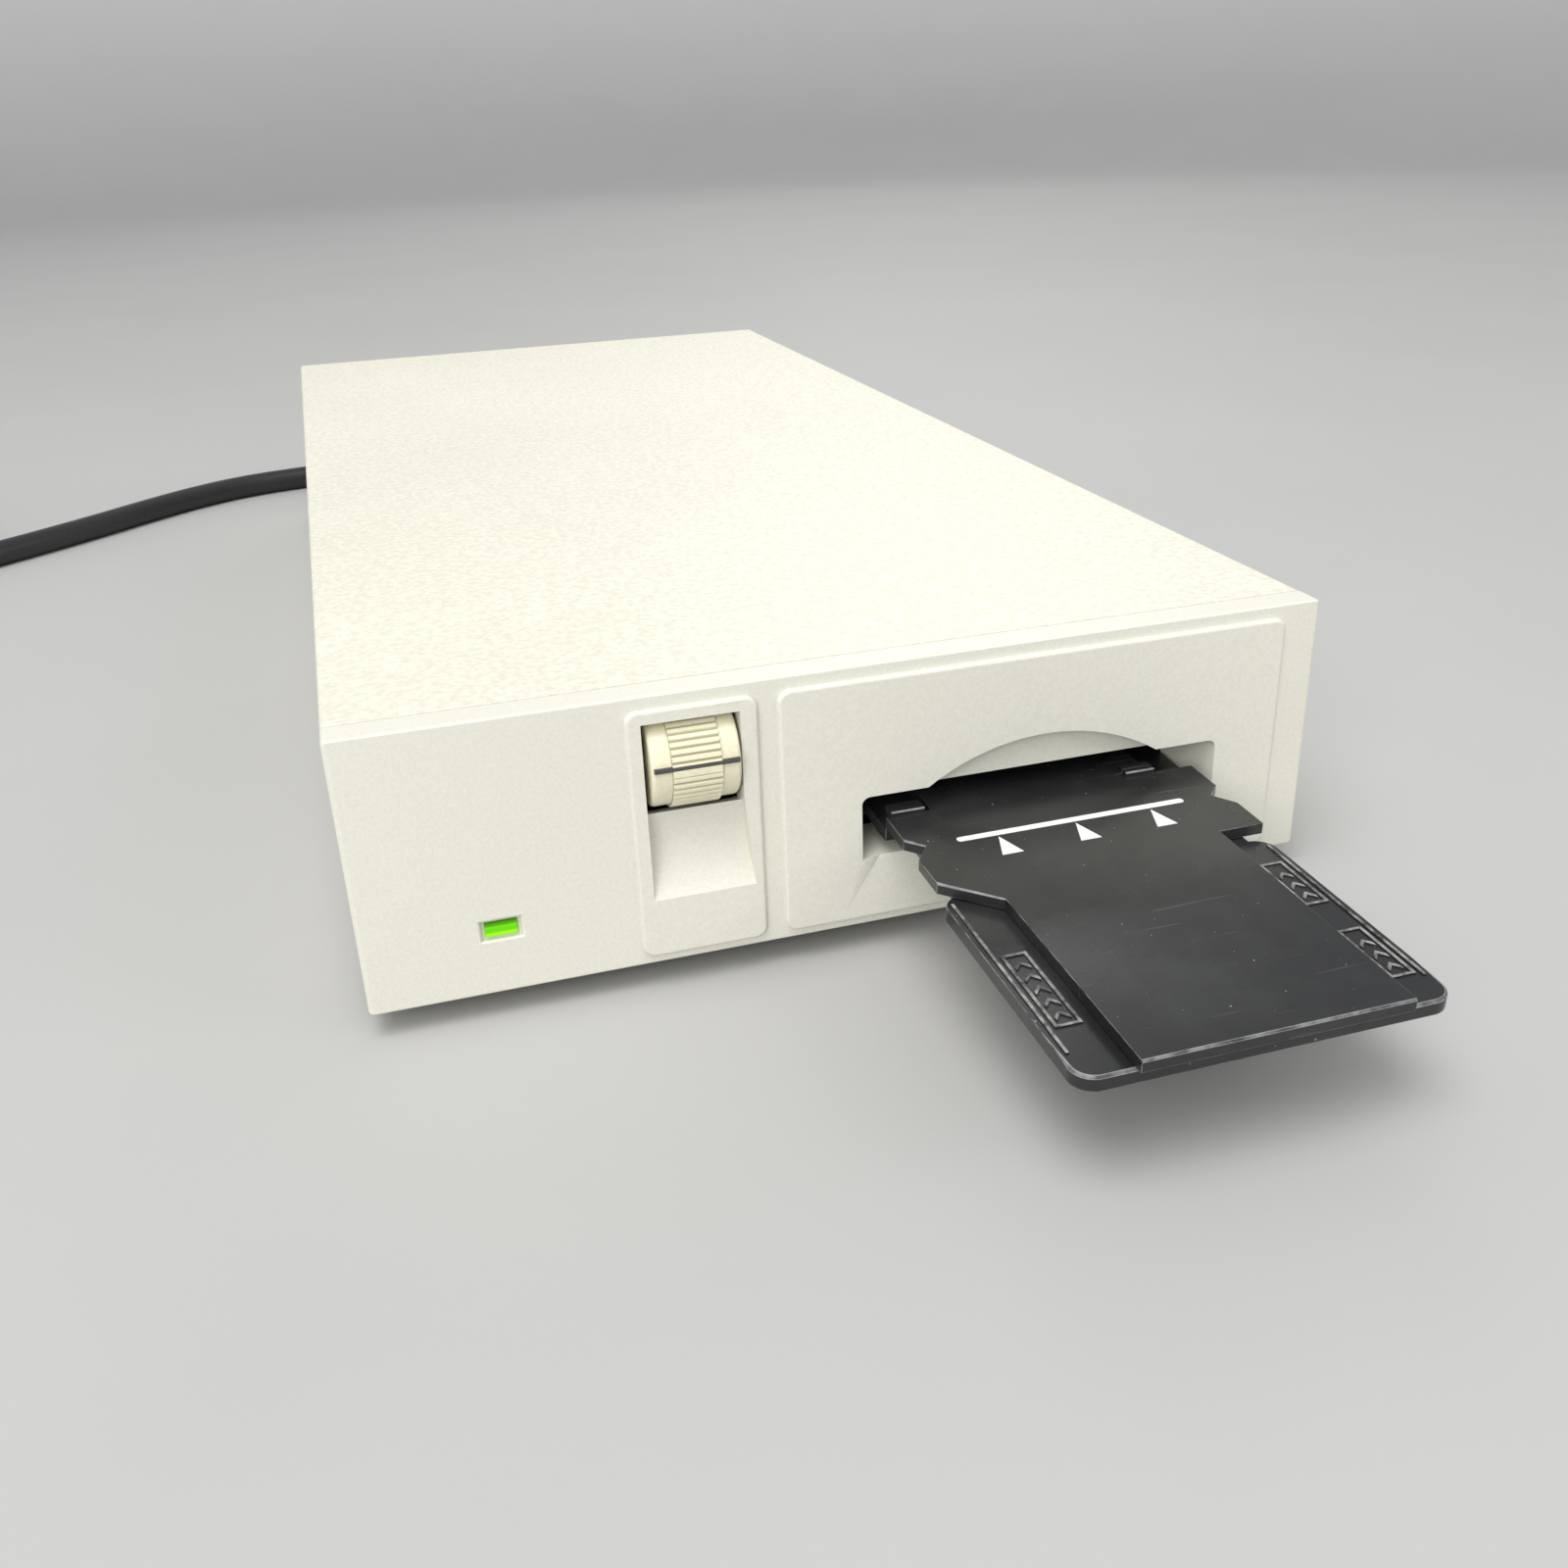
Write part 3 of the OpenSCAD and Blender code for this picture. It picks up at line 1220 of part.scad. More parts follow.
module switch_body() {
  x = switch_at[0];
  z = switch_at[1];
  hw = switch_w / 2 + 0.4;
  hh = switch_h / 2 + 0.9;
  color(black) difference() {
    union() {
      span([x - hw - 1, x + hw + 1], [case_d - 12, case_d + e], [z - hh - 1, z + hh + 1]);
      face_plate(case_d, case_d + 1.6)
        round_rect(x - hw - 1.8, z - hh - 1.8, x + hw + 1.8, z + hh + 1.8, 1);
    }
    span([x - hw, x + hw], [case_d - 10, case_d + 3], [z - hh, z + hh]);
    bar_x([x - hw - 0.9, x + hw + 0.9], pivot_y - 3, z, 1 + run_fit);
  }
}

module power_rocker() {
  x = switch_at[0];
  color(black) {
    translate([x - switch_w / 2, fy(pivot_y - 3), bz(switch_at[1])]) rotate([8, 0, 0]) rotate([90, 0, 90])
      linear_extrude(switch_w) polygon([
        [-3, -2.5], [4.6, -switch_h / 2], [6.6, -switch_h / 2 + 0.3], [5.4, 0],
        [6.6, switch_h / 2 - 0.3], [4.6, switch_h / 2], [-3, 2.5]
      ]);
    bar_x([x - switch_w / 2 - 1, x + switch_w / 2 + 1], pivot_y - 3, switch_at[1], 1);
  }
}

module data_ports() {
  color(steel) for (at = port_at) difference() {
    union() {
      face_plate(panel_in_y - 1, panel_in_y)
        round_rect(at[0] - port_w / 2, at[1] - 6.2, at[0] + port_w / 2, at[1] + 6.2, 1.5);
      face_plate(panel_in_y - 9, panel_in_y)
        round_rect(at[0] - 20, at[1] - 5, at[0] + 20, at[1] + 5, 1.5);
      face_plate(panel_in_y - e, case_d + port_reach) polygon([
        [at[0] - 19.4, at[1] + 4.1], [at[0] + 19.4, at[1] + 4.1],
        [at[0] + 18, at[1] - 4.1], [at[0] - 18, at[1] - 4.1]
      ]);
    }
    for (i = [0:12]) bar_y(at[0] - 16.6 + i * 2.77, [case_d, case_d + port_reach + e], at[1] + 1.4, 0.55);
    for (i = [0:11]) bar_y(at[0] - 15.2 + i * 2.77, [case_d, case_d + port_reach + e], at[1] - 1.4, 0.55);
    for (s = [-1, 1]) bar_y(at[0] + s * port_pitch / 2, [panel_in_y - 2, panel_in_y + e], at[1], hole_r);
  }
}

post_bore = 1.25;

module jack_posts() {
  color(brass) for (at = port_at, s = [-1, 1]) difference() {
    union() {
      translate([at[0] + s * port_pitch / 2, fy(case_d), bz(at[1])]) rotate([-90, 0, 0])
        cylinder(h = 5, r = 2.9, $fn = 6);
      bar_y(at[0] + s * port_pitch / 2, [panel_in_y - 4, case_d + e], at[1], screw_r);
    }
    bar_y(at[0] + s * port_pitch / 2, [case_d - e, case_d + 5 + e], at[1], post_bore);
  }
}

module id_switch() {
  x = dial_at[0];
  z = dial_at[1];
  color([0.2, 0.3, 0.5]) difference() {
    span([x - 3.9, x + 3.9], [panel_in_y - 8, panel_in_y], [z - 5, z + 5]);
    bar_y(x, [panel_in_y - 3, panel_in_y + e], z, dial_r + 0.3);
    bar_y(x, [panel_in_y - 7, panel_in_y], z, 1 + run_fit);
  }
}

module id_dial() {
  x = dial_at[0];
  z = dial_at[1];
  color(white) difference() {
    union() {
      bar_y(x, [panel_in_y - 2.7, case_d + 0.6], z, dial_r);
      bar_y(x, [panel_in_y - 6.7, panel_in_y - 2], z, 1);
    }
    span([x - 0.5, x + 0.5], [case_d - 0.6, case_d + 2], [z - dial_r + 0.6, z + dial_r - 0.6]);
  }
}

// ---------- mains lead ----------

// Connector pushed home in the inlet; its relief runs on into the lead.
module power_connector() {
  x = inlet_at[0];
  z = inlet_at[1];
  y = case_d + 2;
  hw = inlet_w / 2 - plug_fit;
  hh = inlet_h / 2 - plug_fit;
  color(black) {
    difference() {
      union() {
        face_plate(y - inlet_depth + 1, y + e)
          polygon([[x - hw, z - hh], [x + hw, z - hh], [x + hw, z + hh - 3], [x + hw - 4, z + hh],
            [x - hw + 4, z + hh], [x - hw, z + hh - 3]]);
        face_plate(y, y + grip_l) round_rect(x - hw - 1, z - hh - 1, x + hw + 1, z + hh + 1, 3);
      }
      for (p = [[-7, 0], [0, 3.5], [7, 0]])
        span([x + p[0] - 1.6, x + p[0] + 1.6], [y - inlet_depth, y], [z + p[1] - 2.6, z + p[1] + 2.6]);
    }
    translate([x, fy(y + grip_l - 0.5), bz(z)]) rotate([-90, 0, 0])
      cylinder(h = relief_l + 0.5, r1 = 6.4, r2 = cord_r + 0.6);
  }
}

function unit(v) = v / norm(v);
function along(p, i) = unit(p[min(i + 1, len(p) - 1)] - p[max(i - 1, 0)]);
function ring(p, i, r, n) =
  let (t = along(p, i), a = unit(cross(t, [0, 0, 1])), b = cross(a, t))
  [for (k = [0:n - 1]) p[i] + r * (cos(k * 360 / n) * b + sin(k * 360 / n) * a)];

// A tube of n sides through the points p
module tube(p, r, n) {
  m = len(p);
  polyhedron(
    points = [for (i = [0:m - 1]) each ring(p, i, r, n)],
    faces = concat(
      [[for (k = [n - 1:-1:0]) k]],
      [for (i = [0:m - 2], k = [0:n - 1]) each [
        [i * n + k, i * n + (k + 1) % n, (i + 1) * n + (k + 1) % n],
        [i * n + k, (i + 1) * n + (k + 1) % n, (i + 1) * n + k]]],
      [[for (k = [0:n - 1]) (m - 1) * n + k]]
    ),
    convexity = 10
  );
}

module power_cord() {
  color(black) tube(cord_route, cord_r, cord_sides);
}

module cord_coil() {
  color(black) translate([coil_at[0], coil_at[1], 0]) rotate_extrude()
    translate([coil_r0, 0]) square([coil_r1 - coil_r0, coil_h]);
}

// Wall plug that lies beside the coil, with its relief towards the coil
module power_plug() {
  color(black) {
    translate([plug_x, plug_y, plug_z]) rotate([-90, 0, 0])
      cylinder(h = relief_l + 1, r1 = cord_r + 0.6, r2 = 6.2);
    translate([plug_x - 12, plug_y + relief_l, 0]) difference() {
      cube([24, 22, 20]);
      for (x = [-1, 25]) translate([x, 11, -1]) rotate([0, 0, 45]) translate([-2, -2, 0]) cube([4, 4, 22]);
    }
    for (x = [-6.35, 6.35]) translate([plug_x + x - 0.75, plug_y + relief_l + 21, plug_z - 3.2])
      cube([1.5, 17, 6.4]);
  }
}

front_bezel();
throat_plate();
top_cover();
bottom_pan();
back_panel();
rubber_feet();
case_screws();
status_lens();
status_board();
wheel_bracket();
wheel_axle();
idler_stud();
focus_wheel();
wheel_pinion();
idler_gear();
focus_rod();
lens_carriage();
lens_barrel();
lens_glass();
holder_base();
holder_hinge_pin();
holder_cover();
film_carriage();
carriage_bushes();
drive_nut();
holder_springs();
lead_screw();
screw_bush();
guide_rods();
lens_rods();
optical_base();
scan_motor();
lamp_bridge();
lamp_block();
light_rod();
fold_mirror();
sensor_board();
line_sensor();
main_board();
board_chips();
board_standoffs();
power_board();
power_transformer();
power_capacitors();
heat_sink();
fan_frame();
fan_rotor();
mains_inlet();
switch_body();
power_rocker();
data_ports();
jack_posts();
id_switch();
id_dial();
power_connector();
power_cord();
cord_coil();
power_plug();
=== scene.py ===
import math

import bmesh
import bpy
from mathutils import Matrix, Vector


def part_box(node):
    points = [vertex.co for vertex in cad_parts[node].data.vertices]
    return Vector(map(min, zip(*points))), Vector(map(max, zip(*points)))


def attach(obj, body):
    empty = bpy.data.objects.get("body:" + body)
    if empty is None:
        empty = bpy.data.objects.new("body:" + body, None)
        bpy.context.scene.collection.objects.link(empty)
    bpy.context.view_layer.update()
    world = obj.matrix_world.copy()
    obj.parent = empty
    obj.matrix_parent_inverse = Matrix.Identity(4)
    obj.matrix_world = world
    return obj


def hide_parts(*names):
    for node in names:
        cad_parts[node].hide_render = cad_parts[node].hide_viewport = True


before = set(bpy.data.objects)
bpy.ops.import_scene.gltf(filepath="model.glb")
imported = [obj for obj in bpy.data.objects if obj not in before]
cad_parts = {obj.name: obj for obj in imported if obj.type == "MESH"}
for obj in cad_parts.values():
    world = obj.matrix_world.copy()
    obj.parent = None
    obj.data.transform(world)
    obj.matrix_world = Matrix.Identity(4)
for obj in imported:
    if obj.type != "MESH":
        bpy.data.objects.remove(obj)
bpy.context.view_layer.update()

# ---------- camera ----------
# A lens of 34 mm, held a hand's height above the desk, looks down at the front from the left.
bpy.ops.object.camera_add()
camera = bpy.context.object
camera.name = "camera"
view_axes = Matrix((
    (0.95580, -0.29184, -0.03581),
    (0.15484, 0.39604, 0.90508),
    (-0.24996, -0.87062, 0.42372),
)).transposed()
camera.matrix_world = Matrix.Translation((-0.06445, -0.31101, 0.11754)) @ view_axes.to_4x4()
camera.data.sensor_width = 36
camera.data.lens = 34.0
camera.data.clip_start = 0.01
bpy.context.scene.camera = camera


# ---------- floor and studio light ----------
# A wide pale table top that curves up into a wall all round, under four soft lights: the key above the
# case, a lower one in front on the left, which gives the dark pieces their sheen, and two weak ones on
# the right and behind.
table_r, bend_r, wall_h = 1.9, 0.9, 0.5
bend_steps = 10


def place(tree, kind, inputs=None, **settings):
    """Adds a node to a material or group and feeds its inputs with numbers or other nodes' outputs."""
    made = tree.nodes.new(kind)
    for name, value in settings.items():
        setattr(made, name, value)
    for name, value in (inputs or {}).items():
        if isinstance(value, bpy.types.NodeSocket):
            tree.links.new(value, made.inputs[name])
        else:
            made.inputs[name].default_value = value
    return made


def maths(tree, kind, *values):
    """The output of a new maths node, which gets as many values as its kind takes."""
    return place(tree, "ShaderNodeMath", dict(enumerate(values)), operation=kind).outputs["Value"]


def new_finish(name, **numbers):
    """A material with one Principled shader, whose plain numbers are set on its own sockets."""
    finish = bpy.data.materials.new(name)
    finish.use_nodes = True
    shader = finish.node_tree.nodes["Principled BSDF"]
    for socket, value in numbers.items():
        shader.inputs[socket.replace("_", " ")].default_value = value
    return finish, finish.node_tree, shader


bpy.ops.object.select_all(action="DESELECT")
bpy.ops.mesh.primitive_circle_add(vertices=96, radius=table_r, fill_type="NGON")
floor = bpy.context.object
floor.name = "table_top"
bpy.ops.object.mode_set(mode="EDIT")
bpy.ops.mesh.select_all(action="SELECT")
bpy.ops.mesh.inset(thickness=0.2)
bpy.ops.mesh.select_all(action="SELECT")
bpy.ops.mesh.region_to_loop()
for k in range(bend_steps):
    last, now = math.radians(90 * k / bend_steps), math.radians(90 * (k + 1) / bend_steps)
    before, radius = table_r + bend_r * math.sin(last), table_r + bend_r * math.sin(now)
    rise = bend_r * (math.cos(last) - math.cos(now))
    bpy.ops.mesh.extrude_region_move(TRANSFORM_OT_translate={"value": (0, 0, rise)})
    bpy.ops.transform.resize(value=(radius / before, radius / before, 1), center_override=(0, 0, 0))
bpy.ops.mesh.extrude_region_move(TRANSFORM_OT_translate={"value": (0, 0, wall_h)})
bpy.ops.object.mode_set(mode="OBJECT")
bpy.ops.object.shade_smooth_by_angle(angle=math.radians(30))
floor_finish, tree, shader = new_finish("table_top_paint", Roughness=0.6)
ground = place(tree, "ShaderNodeTexCoord").outputs["Object"]
cloud = place(tree, "ShaderNodeTexNoise", {"Vector": ground, "Scale": 9.0, "Detail": 6.0}).outputs["Fac"]
tint = place(tree, "ShaderNodeMix", {"Factor": cloud}, data_type="RGBA")
tint.inputs["A"].default_value = (0.47, 0.47, 0.465, 1)
tint.inputs["B"].default_value = (0.51, 0.51, 0.505, 1)
height = place(tree, "ShaderNodeSeparateXYZ", {"Vector": ground}).outputs["Z"]
risen = place(tree, "ShaderNodeMapRange", {"Value": height, "From Max": wall_h}).outputs["Result"]
paler = place(tree, "ShaderNodeMix", {"Factor": risen}, data_type="RGBA")
paler.inputs["B"].default_value = (0.93, 0.93, 0.92, 1)
tree.links.new(tint.outputs["Result"], paler.inputs["A"])
tree.links.new(paler.outputs["Result"], shader.inputs["Base Color"])
floor.data.materials.append(floor_finish)

world = bpy.data.worlds.new("room")
world.use_nodes = True
world.node_tree.nodes["Background"].inputs["Color"].default_value = (0.92, 0.94, 0.97, 1)
world.node_tree.nodes["Background"].inputs["Strength"].default_value = 0.47
bpy.context.scene.world = world
bpy.context.scene.view_settings.view_transform = "Standard"

for name, spot, aim, width, power in (
    ("key_softbox", (-0.45, -0.60, 1.65), (0, 0, 0), 1.2, 23),
    ("front_softbox", (-0.95, -1.30, 0.72), (0, -0.05, 0.02), 0.8, 10.5),
    ("side_softbox", (1.2, -0.9, 0.8), (0, 0, 0), 0.8, 4),
    ("rear_softbox", (0.70, 1.60, 0.98), (0, -0.15, 0), 0.6, 4.0),
):
    bpy.ops.object.light_add(type="AREA", location=spot)
    softbox = bpy.context.object
    softbox.name = name
    softbox.rotation_euler = (Vector(aim) - Vector(spot)).to_track_quat("-Z", "Y").to_euler()
    softbox.data.size = width
    softbox.data.energy = power
    softbox.data.color = (1.0, 0.985, 0.96)

# ---------- mains lead ----------
# Black 7 mm flexible lead, 1.83 m over its ends, 1.70 m of it free. It leaves the connector behind the
# case, sinks to the table, comes round the back left corner and runs to its coil, held by a strap.
cord_radius = 0.0035
route = [
    (0.0400, 0.2305, 0.0250), (0.0400, 0.2420, 0.0247), (0.0385, 0.2510, 0.0238),
    (0.0335, 0.2620, 0.0218), (0.0250, 0.2705, 0.0192), (0.0140, 0.2760, 0.0162),
    (0.0020, 0.2770, 0.0132), (-0.0100, 0.2735, 0.0102), (-0.0200, 0.2665, 0.0076),
    (-0.0270, 0.2565, 0.0055), (-0.0300, 0.2490, 0.0044), (-0.0335, 0.2410, 0.0037),
    (-0.0405, 0.2325, 0.0035), (-0.0485, 0.2272, 0.0035), (-0.0575, 0.2242, 0.0035),
    (-0.0680, 0.2226, 0.0035), (-0.0800, 0.2206, 0.0035), (-0.0970, 0.2158, 0.0035),
    (-0.1120, 0.2070, 0.0035), (-0.1260, 0.1950, 0.0035), (-0.1400, 0.1812, 0.0035),
    (-0.1530, 0.1692, 0.0035), (-0.1660, 0.1580, 0.0035), (-0.1780, 0.1475, 0.0035),
    (-0.1900, 0.1370, 0.0035),
]
coil_centre = Vector((-0.231, 0.1635, 0))
outer_turn_r, middle_turn_r = 0.047, 0.040
entry_angle = math.radians(-48.8)
turns_wound = 5.364
inward_at, outward_at, step_turns = (0.84, 1.84), (3.50, 4.50), 0.16
climb_at, climb_turns = 2.62, 0.32


def eased(share):
    """A share from 0 to 1 that starts and ends softly."""
    share = min(1.0, max(0.0, share))
    return share * share * (3 - 2 * share)


def coil_point(turn):
    """A point of the coil: three turns inwards on the table, then out again on top of them."""
    step = outer_turn_r - middle_turn_r
    radius = outer_turn_r - step * sum(eased((turn - at) / step_turns) for at in inward_at)
    radius += step * sum(eased((turn - at) / step_turns) for at in outward_at)
    height = cord_radius * (1 + 2 * eased((turn - climb_at) / climb_turns))
    angle = entry_angle - 2 * math.pi * turn
    return coil_centre + Vector((radius * math.cos(angle), radius * math.sin(angle), height))


coil_steps = 96
route += [tuple(coil_point(turns_wound * k / coil_steps)) for k in range(coil_steps + 1)]
plug_low, plug_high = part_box("power_plug")
plug_x, plug_z = (plug_low.x + plug_high.x) / 2, 0.0105
route += [(plug_x, 0.1690, plug_z), (plug_x, plug_low.y + 0.0005, plug_z)]
line = bpy.data.curves.new("mains_cord", "CURVE")
line.dimensions = "3D"
line.bevel_depth = cord_radius
line.bevel_resolution = 7
line.resolution_u = 6
line.use_fill_caps = True
spline = line.splines.new("BEZIER")
spline.bezier_points.add(len(route) - 1)
for knot, spot in zip(spline.bezier_points, route):
    knot.co = spot
    knot.handle_left_type = knot.handle_right_type = "AUTO"
cord = bpy.data.objects.new("mains_cord", line)
bpy.context.scene.collection.objects.link(cord)


# Fine grain that more than one material uses: it shades the colour a little and gives a height.
def grain_group():
    """Inputs: two tones, the grain's size and how patchy the tones are. Outputs: colour, height, mask."""
    group = bpy.data.node_groups.new("moulding_grain", "ShaderNodeTree")
    face = group.interface
    for name in ("Tone", "Second Tone"):
        face.new_socket(name, in_out="INPUT", socket_type="NodeSocketColor")
    for name in ("Grain Scale", "Patch Scale", "Speckle"):
        face.new_socket(name, in_out="INPUT", socket_type="NodeSocketFloat")
    face.new_socket("Color", in_out="OUTPUT", socket_type="NodeSocketColor")
    for name in ("Height", "Mask"):
        face.new_socket(name, in_out="OUTPUT", socket_type="NodeSocketFloat")
    given = group.nodes.new("NodeGroupInput").outputs
    out = group.nodes.new("NodeGroupOutput").inputs
    here = place(group, "ShaderNodeTexCoord").outputs["Object"]
    fine = place(group, "ShaderNodeTexNoise",
                 {"Vector": here, "Scale": given["Grain Scale"], "Detail": 3.0})
    patch = place(group, "ShaderNodeTexNoise",
                  {"Vector": here, "Scale": given["Patch Scale"], "Detail": 4.0})
    spread = place(group, "ShaderNodeMapRange",
                   {"Value": patch.outputs["Fac"], "From Min": 0.32, "From Max": 0.68})
    sharp = place(group, "ShaderNodeMapRange",
                  {"Value": fine.outputs["Fac"], "From Min": 0.36, "From Max": 0.64})
    rest = maths(group, "SUBTRACT", 1.0, given["Speckle"])
    base = maths(group, "MULTIPLY", spread.outputs["Result"], rest)
    both = maths(group, "MULTIPLY_ADD", sharp.outputs["Result"], given["Speckle"], base)
    tone = place(group, "ShaderNodeMix", {"Factor": both}, data_type="RGBA")
    group.links.new(given["Tone"], tone.inputs["A"])
    group.links.new(given["Second Tone"], tone.inputs["B"])
    group.links.new(tone.outputs["Result"], out["Color"])
    group.links.new(fine.outputs["Fac"], out["Height"])
    group.links.new(spread.outputs["Result"], out["Mask"])
    return group


grain = grain_group()


def moulded(name, tone, second, grain_scale, patch_scale, bump, low_rough, high_rough, speckle=0.35,
            **numbers):
    """A material made with the shared grain: colour, roughness and a shallow bump all follow it."""
    finish, tree, shader = new_finish(name, **numbers)
    texture = place(tree, "ShaderNodeGroup", node_tree=grain)
    texture.inputs["Tone"].default_value = (*tone, 1)
    texture.inputs["Second Tone"].default_value = (*second, 1)
    texture.inputs["Grain Scale"].default_value = grain_scale
    texture.inputs["Patch Scale"].default_value = patch_scale
    texture.inputs["Speckle"].default_value = speckle
    rough = place(tree, "ShaderNodeMapRange",
                  {"Value": texture.outputs["Mask"], "To Min": low_rough, "To Max": high_rough})
    relief = place(tree, "ShaderNodeBump",
                   {"Height": texture.outputs["Height"], "Strength": bump, "Distance": 0.0002})
    tree.links.new(texture.outputs["Color"], shader.inputs["Base Color"])
    tree.links.new(rough.outputs["Result"], shader.inputs["Roughness"])
    tree.links.new(relief.outputs["Normal"], shader.inputs["Normal"])
    return finish


lead_pvc = moulded("lead_pvc", (0.012, 0.012, 0.013), (0.022, 0.022, 0.024), 900, 30, 0.25, 0.28, 0.42)
line.materials.append(lead_pvc)


# The connector and the plug start from their CAD solids, with every moulded edge rounded.
def pick(piece):
    """Selects this piece alone and makes it the active one."""
    bpy.ops.object.select_all(action="DESELECT")
    bpy.context.view_layer.objects.active = piece
    piece.select_set(True)


def flatten(joint_width):
    """Joins the active piece's coinciding points, and its coplanar triangles into flat faces."""
    bpy.ops.object.mode_set(mode="EDIT")
    bpy.ops.mesh.select_all(action="SELECT")
    bpy.ops.mesh.remove_doubles(threshold=joint_width)
    bpy.ops.mesh.dissolve_limited(angle_limit=math.radians(0.7))
    bpy.ops.object.mode_set(mode="OBJECT")


def from_cad(node, name):
    """Copies a CAD node under a new name, with flat faces, ready to be shaped."""
    piece = bpy.data.objects.new(name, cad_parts[node].data.copy())
    bpy.context.scene.collection.objects.link(piece)
    pick(piece)
    piece.data.materials.clear()
    bpy.ops.mesh.customdata_custom_splitnormals_clear()
    flatten(0.000002)
    return piece


def round_edges(piece, width, segments, chosen, sharp=25, slot=None):
    """Rounds the sharp edges that chosen(middle, edge) picks, then joins the new points that coincide.

    Sharp is the least angle in degrees, and slot names the material slot of the new faces.
    """
    pick(piece)
    bpy.ops.object.mode_set(mode="EDIT")
    bpy.ops.mesh.select_mode(type="EDGE")
    bpy.ops.mesh.select_all(action="DESELECT")
    mesh = bmesh.from_edit_mesh(piece.data)
    found = 0
    for edge in mesh.edges:
        if len(edge.link_faces) == 2 and edge.calc_face_angle(0) > math.radians(sharp):
            if chosen((edge.verts[0].co + edge.verts[1].co) / 2, edge):
                edge.select_set(True)
                found += 1
    bmesh.update_edit_mesh(piece.data)
    if found:
        bpy.ops.mesh.bevel(offset=width, segments=segments, affect="EDGES", clamp_overlap=True,
                           material=-1 if slot is None else slot)
        bpy.ops.mesh.remove_doubles(threshold=0.000004)
    bpy.ops.object.mode_set(mode="OBJECT")


def smooth(piece, angle=35):
    """Smooth shading up to an angle, with the flat faces kept flat."""
    pick(piece)
    bpy.ops.object.shade_smooth_by_angle(angle=math.radians(angle))
    bpy.ops.object.modifier_add(type="WEIGHTED_NORMAL")
    piece.modifiers[-1].keep_sharp = True
    bpy.ops.object.modifier_apply(modifier=piece.modifiers[-1].name)


connector = from_cad("power_connector", "mains_connector")
round_edges(connector, 0.0008, 3, lambda spot, edge: spot.y > 0.189)
smooth(connector)
connector.data.materials.append(lead_pvc)
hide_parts("power_connector")
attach(connector, "case")

plug = from_cad("power_plug", "mains_plug")
blade_metal = moulded("blade_brass", (0.60, 0.52, 0.36), (0.66, 0.58, 0.42), 500, 60, 0.1, 0.2, 0.35,
                      Metallic=1.0)
plug.data.materials.append(lead_pvc)
plug.data.materials.append(blade_metal)
relief_l, plug_body_l = 0.022, 0.0221
blade_start = plug_low.y + relief_l + plug_body_l
for face in plug.data.polygons:
    furthest = max(plug.data.vertices[v].co.y for v in face.vertices)
    if face.center.y > blade_start - 0.0001 and furthest > blade_start:
        face.material_index = 1
round_edges(plug, 0.0012, 3, lambda spot, edge: spot.y < blade_start - 0.0002)
smooth(plug)
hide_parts("power_plug")
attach(plug, "case")

bpy.ops.object.select_all(action="DESELECT")
strap_size = (0.009, 0.0222, 0.0146)
strap_spot = coil_centre + Vector((0, middle_turn_r, cord_radius * 2 + 0.0003))
bpy.ops.mesh.primitive_cube_add(size=1, location=strap_spot)
strap = bpy.context.object
strap.name = "lead_strap"
strap.scale = strap_size
bpy.ops.object.transform_apply(location=True, rotation=True, scale=True)
bpy.ops.object.mode_set(mode="EDIT")
bpy.ops.mesh.select_mode(type="FACE")
bpy.ops.mesh.select_all(action="DESELECT")
mesh = bmesh.from_edit_mesh(strap.data)
for face in mesh.faces:
    face.select_set(abs(face.normal.x) > 0.9)
bmesh.update_edit_mesh(strap.data)
bpy.ops.mesh.delete(type="FACE")
bpy.ops.mesh.select_mode(type="EDGE")
bpy.ops.mesh.select_all(action="DESELECT")
mesh = bmesh.from_edit_mesh(strap.data)
for edge in mesh.edges:
    along = edge.verts[0].co - edge.verts[1].co
    edge.select_set(abs(along.x) > 0.005)
bmesh.update_edit_mesh(strap.data)
bpy.ops.mesh.bevel(offset=0.003, segments=5, affect="EDGES")
bpy.ops.object.mode_set(mode="OBJECT")
bpy.ops.object.modifier_add(type="SOLIDIFY")
strap.modifiers[-1].thickness = 0.0006
strap.modifiers[-1].offset = -1
bpy.ops.object.modifier_apply(modifier=strap.modifiers[-1].name)
smooth(strap)
strap_weave = moulded("strap_weave", (0.02, 0.02, 0.021), (0.035, 0.035, 0.037), 2500, 300, 0.8, 0.7,
                      0.85)
strap.data.materials.append(strap_weave)
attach(strap, "case")

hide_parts("power_cord", "cord_coil")
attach(cord, "case")

# ---------- front bezel ----------
# One moulding of off-white plastic, with two raised fields whose rims are well rounded, a funnel for
# the film holder, a thumb cut above it and a scoop under the wheel. It slides into the steel cover.
bezel = from_cad("front_bezel", "front_bezel_moulding")
field_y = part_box("front_bezel")[0].y
face_y = field_y + 0.0008
case_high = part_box("top_cover")[1]
half_w = case_high.x
top_z = case_high.z
under_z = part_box("bottom_pan")[0].z
fields_x, fields_z = ((-0.0343, -0.0158), (-0.0129, 0.0668)), (0.0055, 0.0434)
window_x, window_top = (-0.0330, -0.0175), 0.0415
scoop_x, scoop_foot = (-0.0325, -0.0165), 0.0125
light_x, light_z = -0.0537, 0.0140
mouth_low, mouth_high = Vector((-0.0010, 0, 0.0151)), Vector((0.0564, 0, 0.0253))
lip_z, lip_y = 0.0152, field_y + 0.0010
slope_out, slope_in, buried_foot, buried_lip = 0.0034, 0.0030, 0.0003, 0.0002


def near(a, b, margin=0.00004):
    """Whether two measures are the same, but for a margin."""
    return abs(a - b) < margin


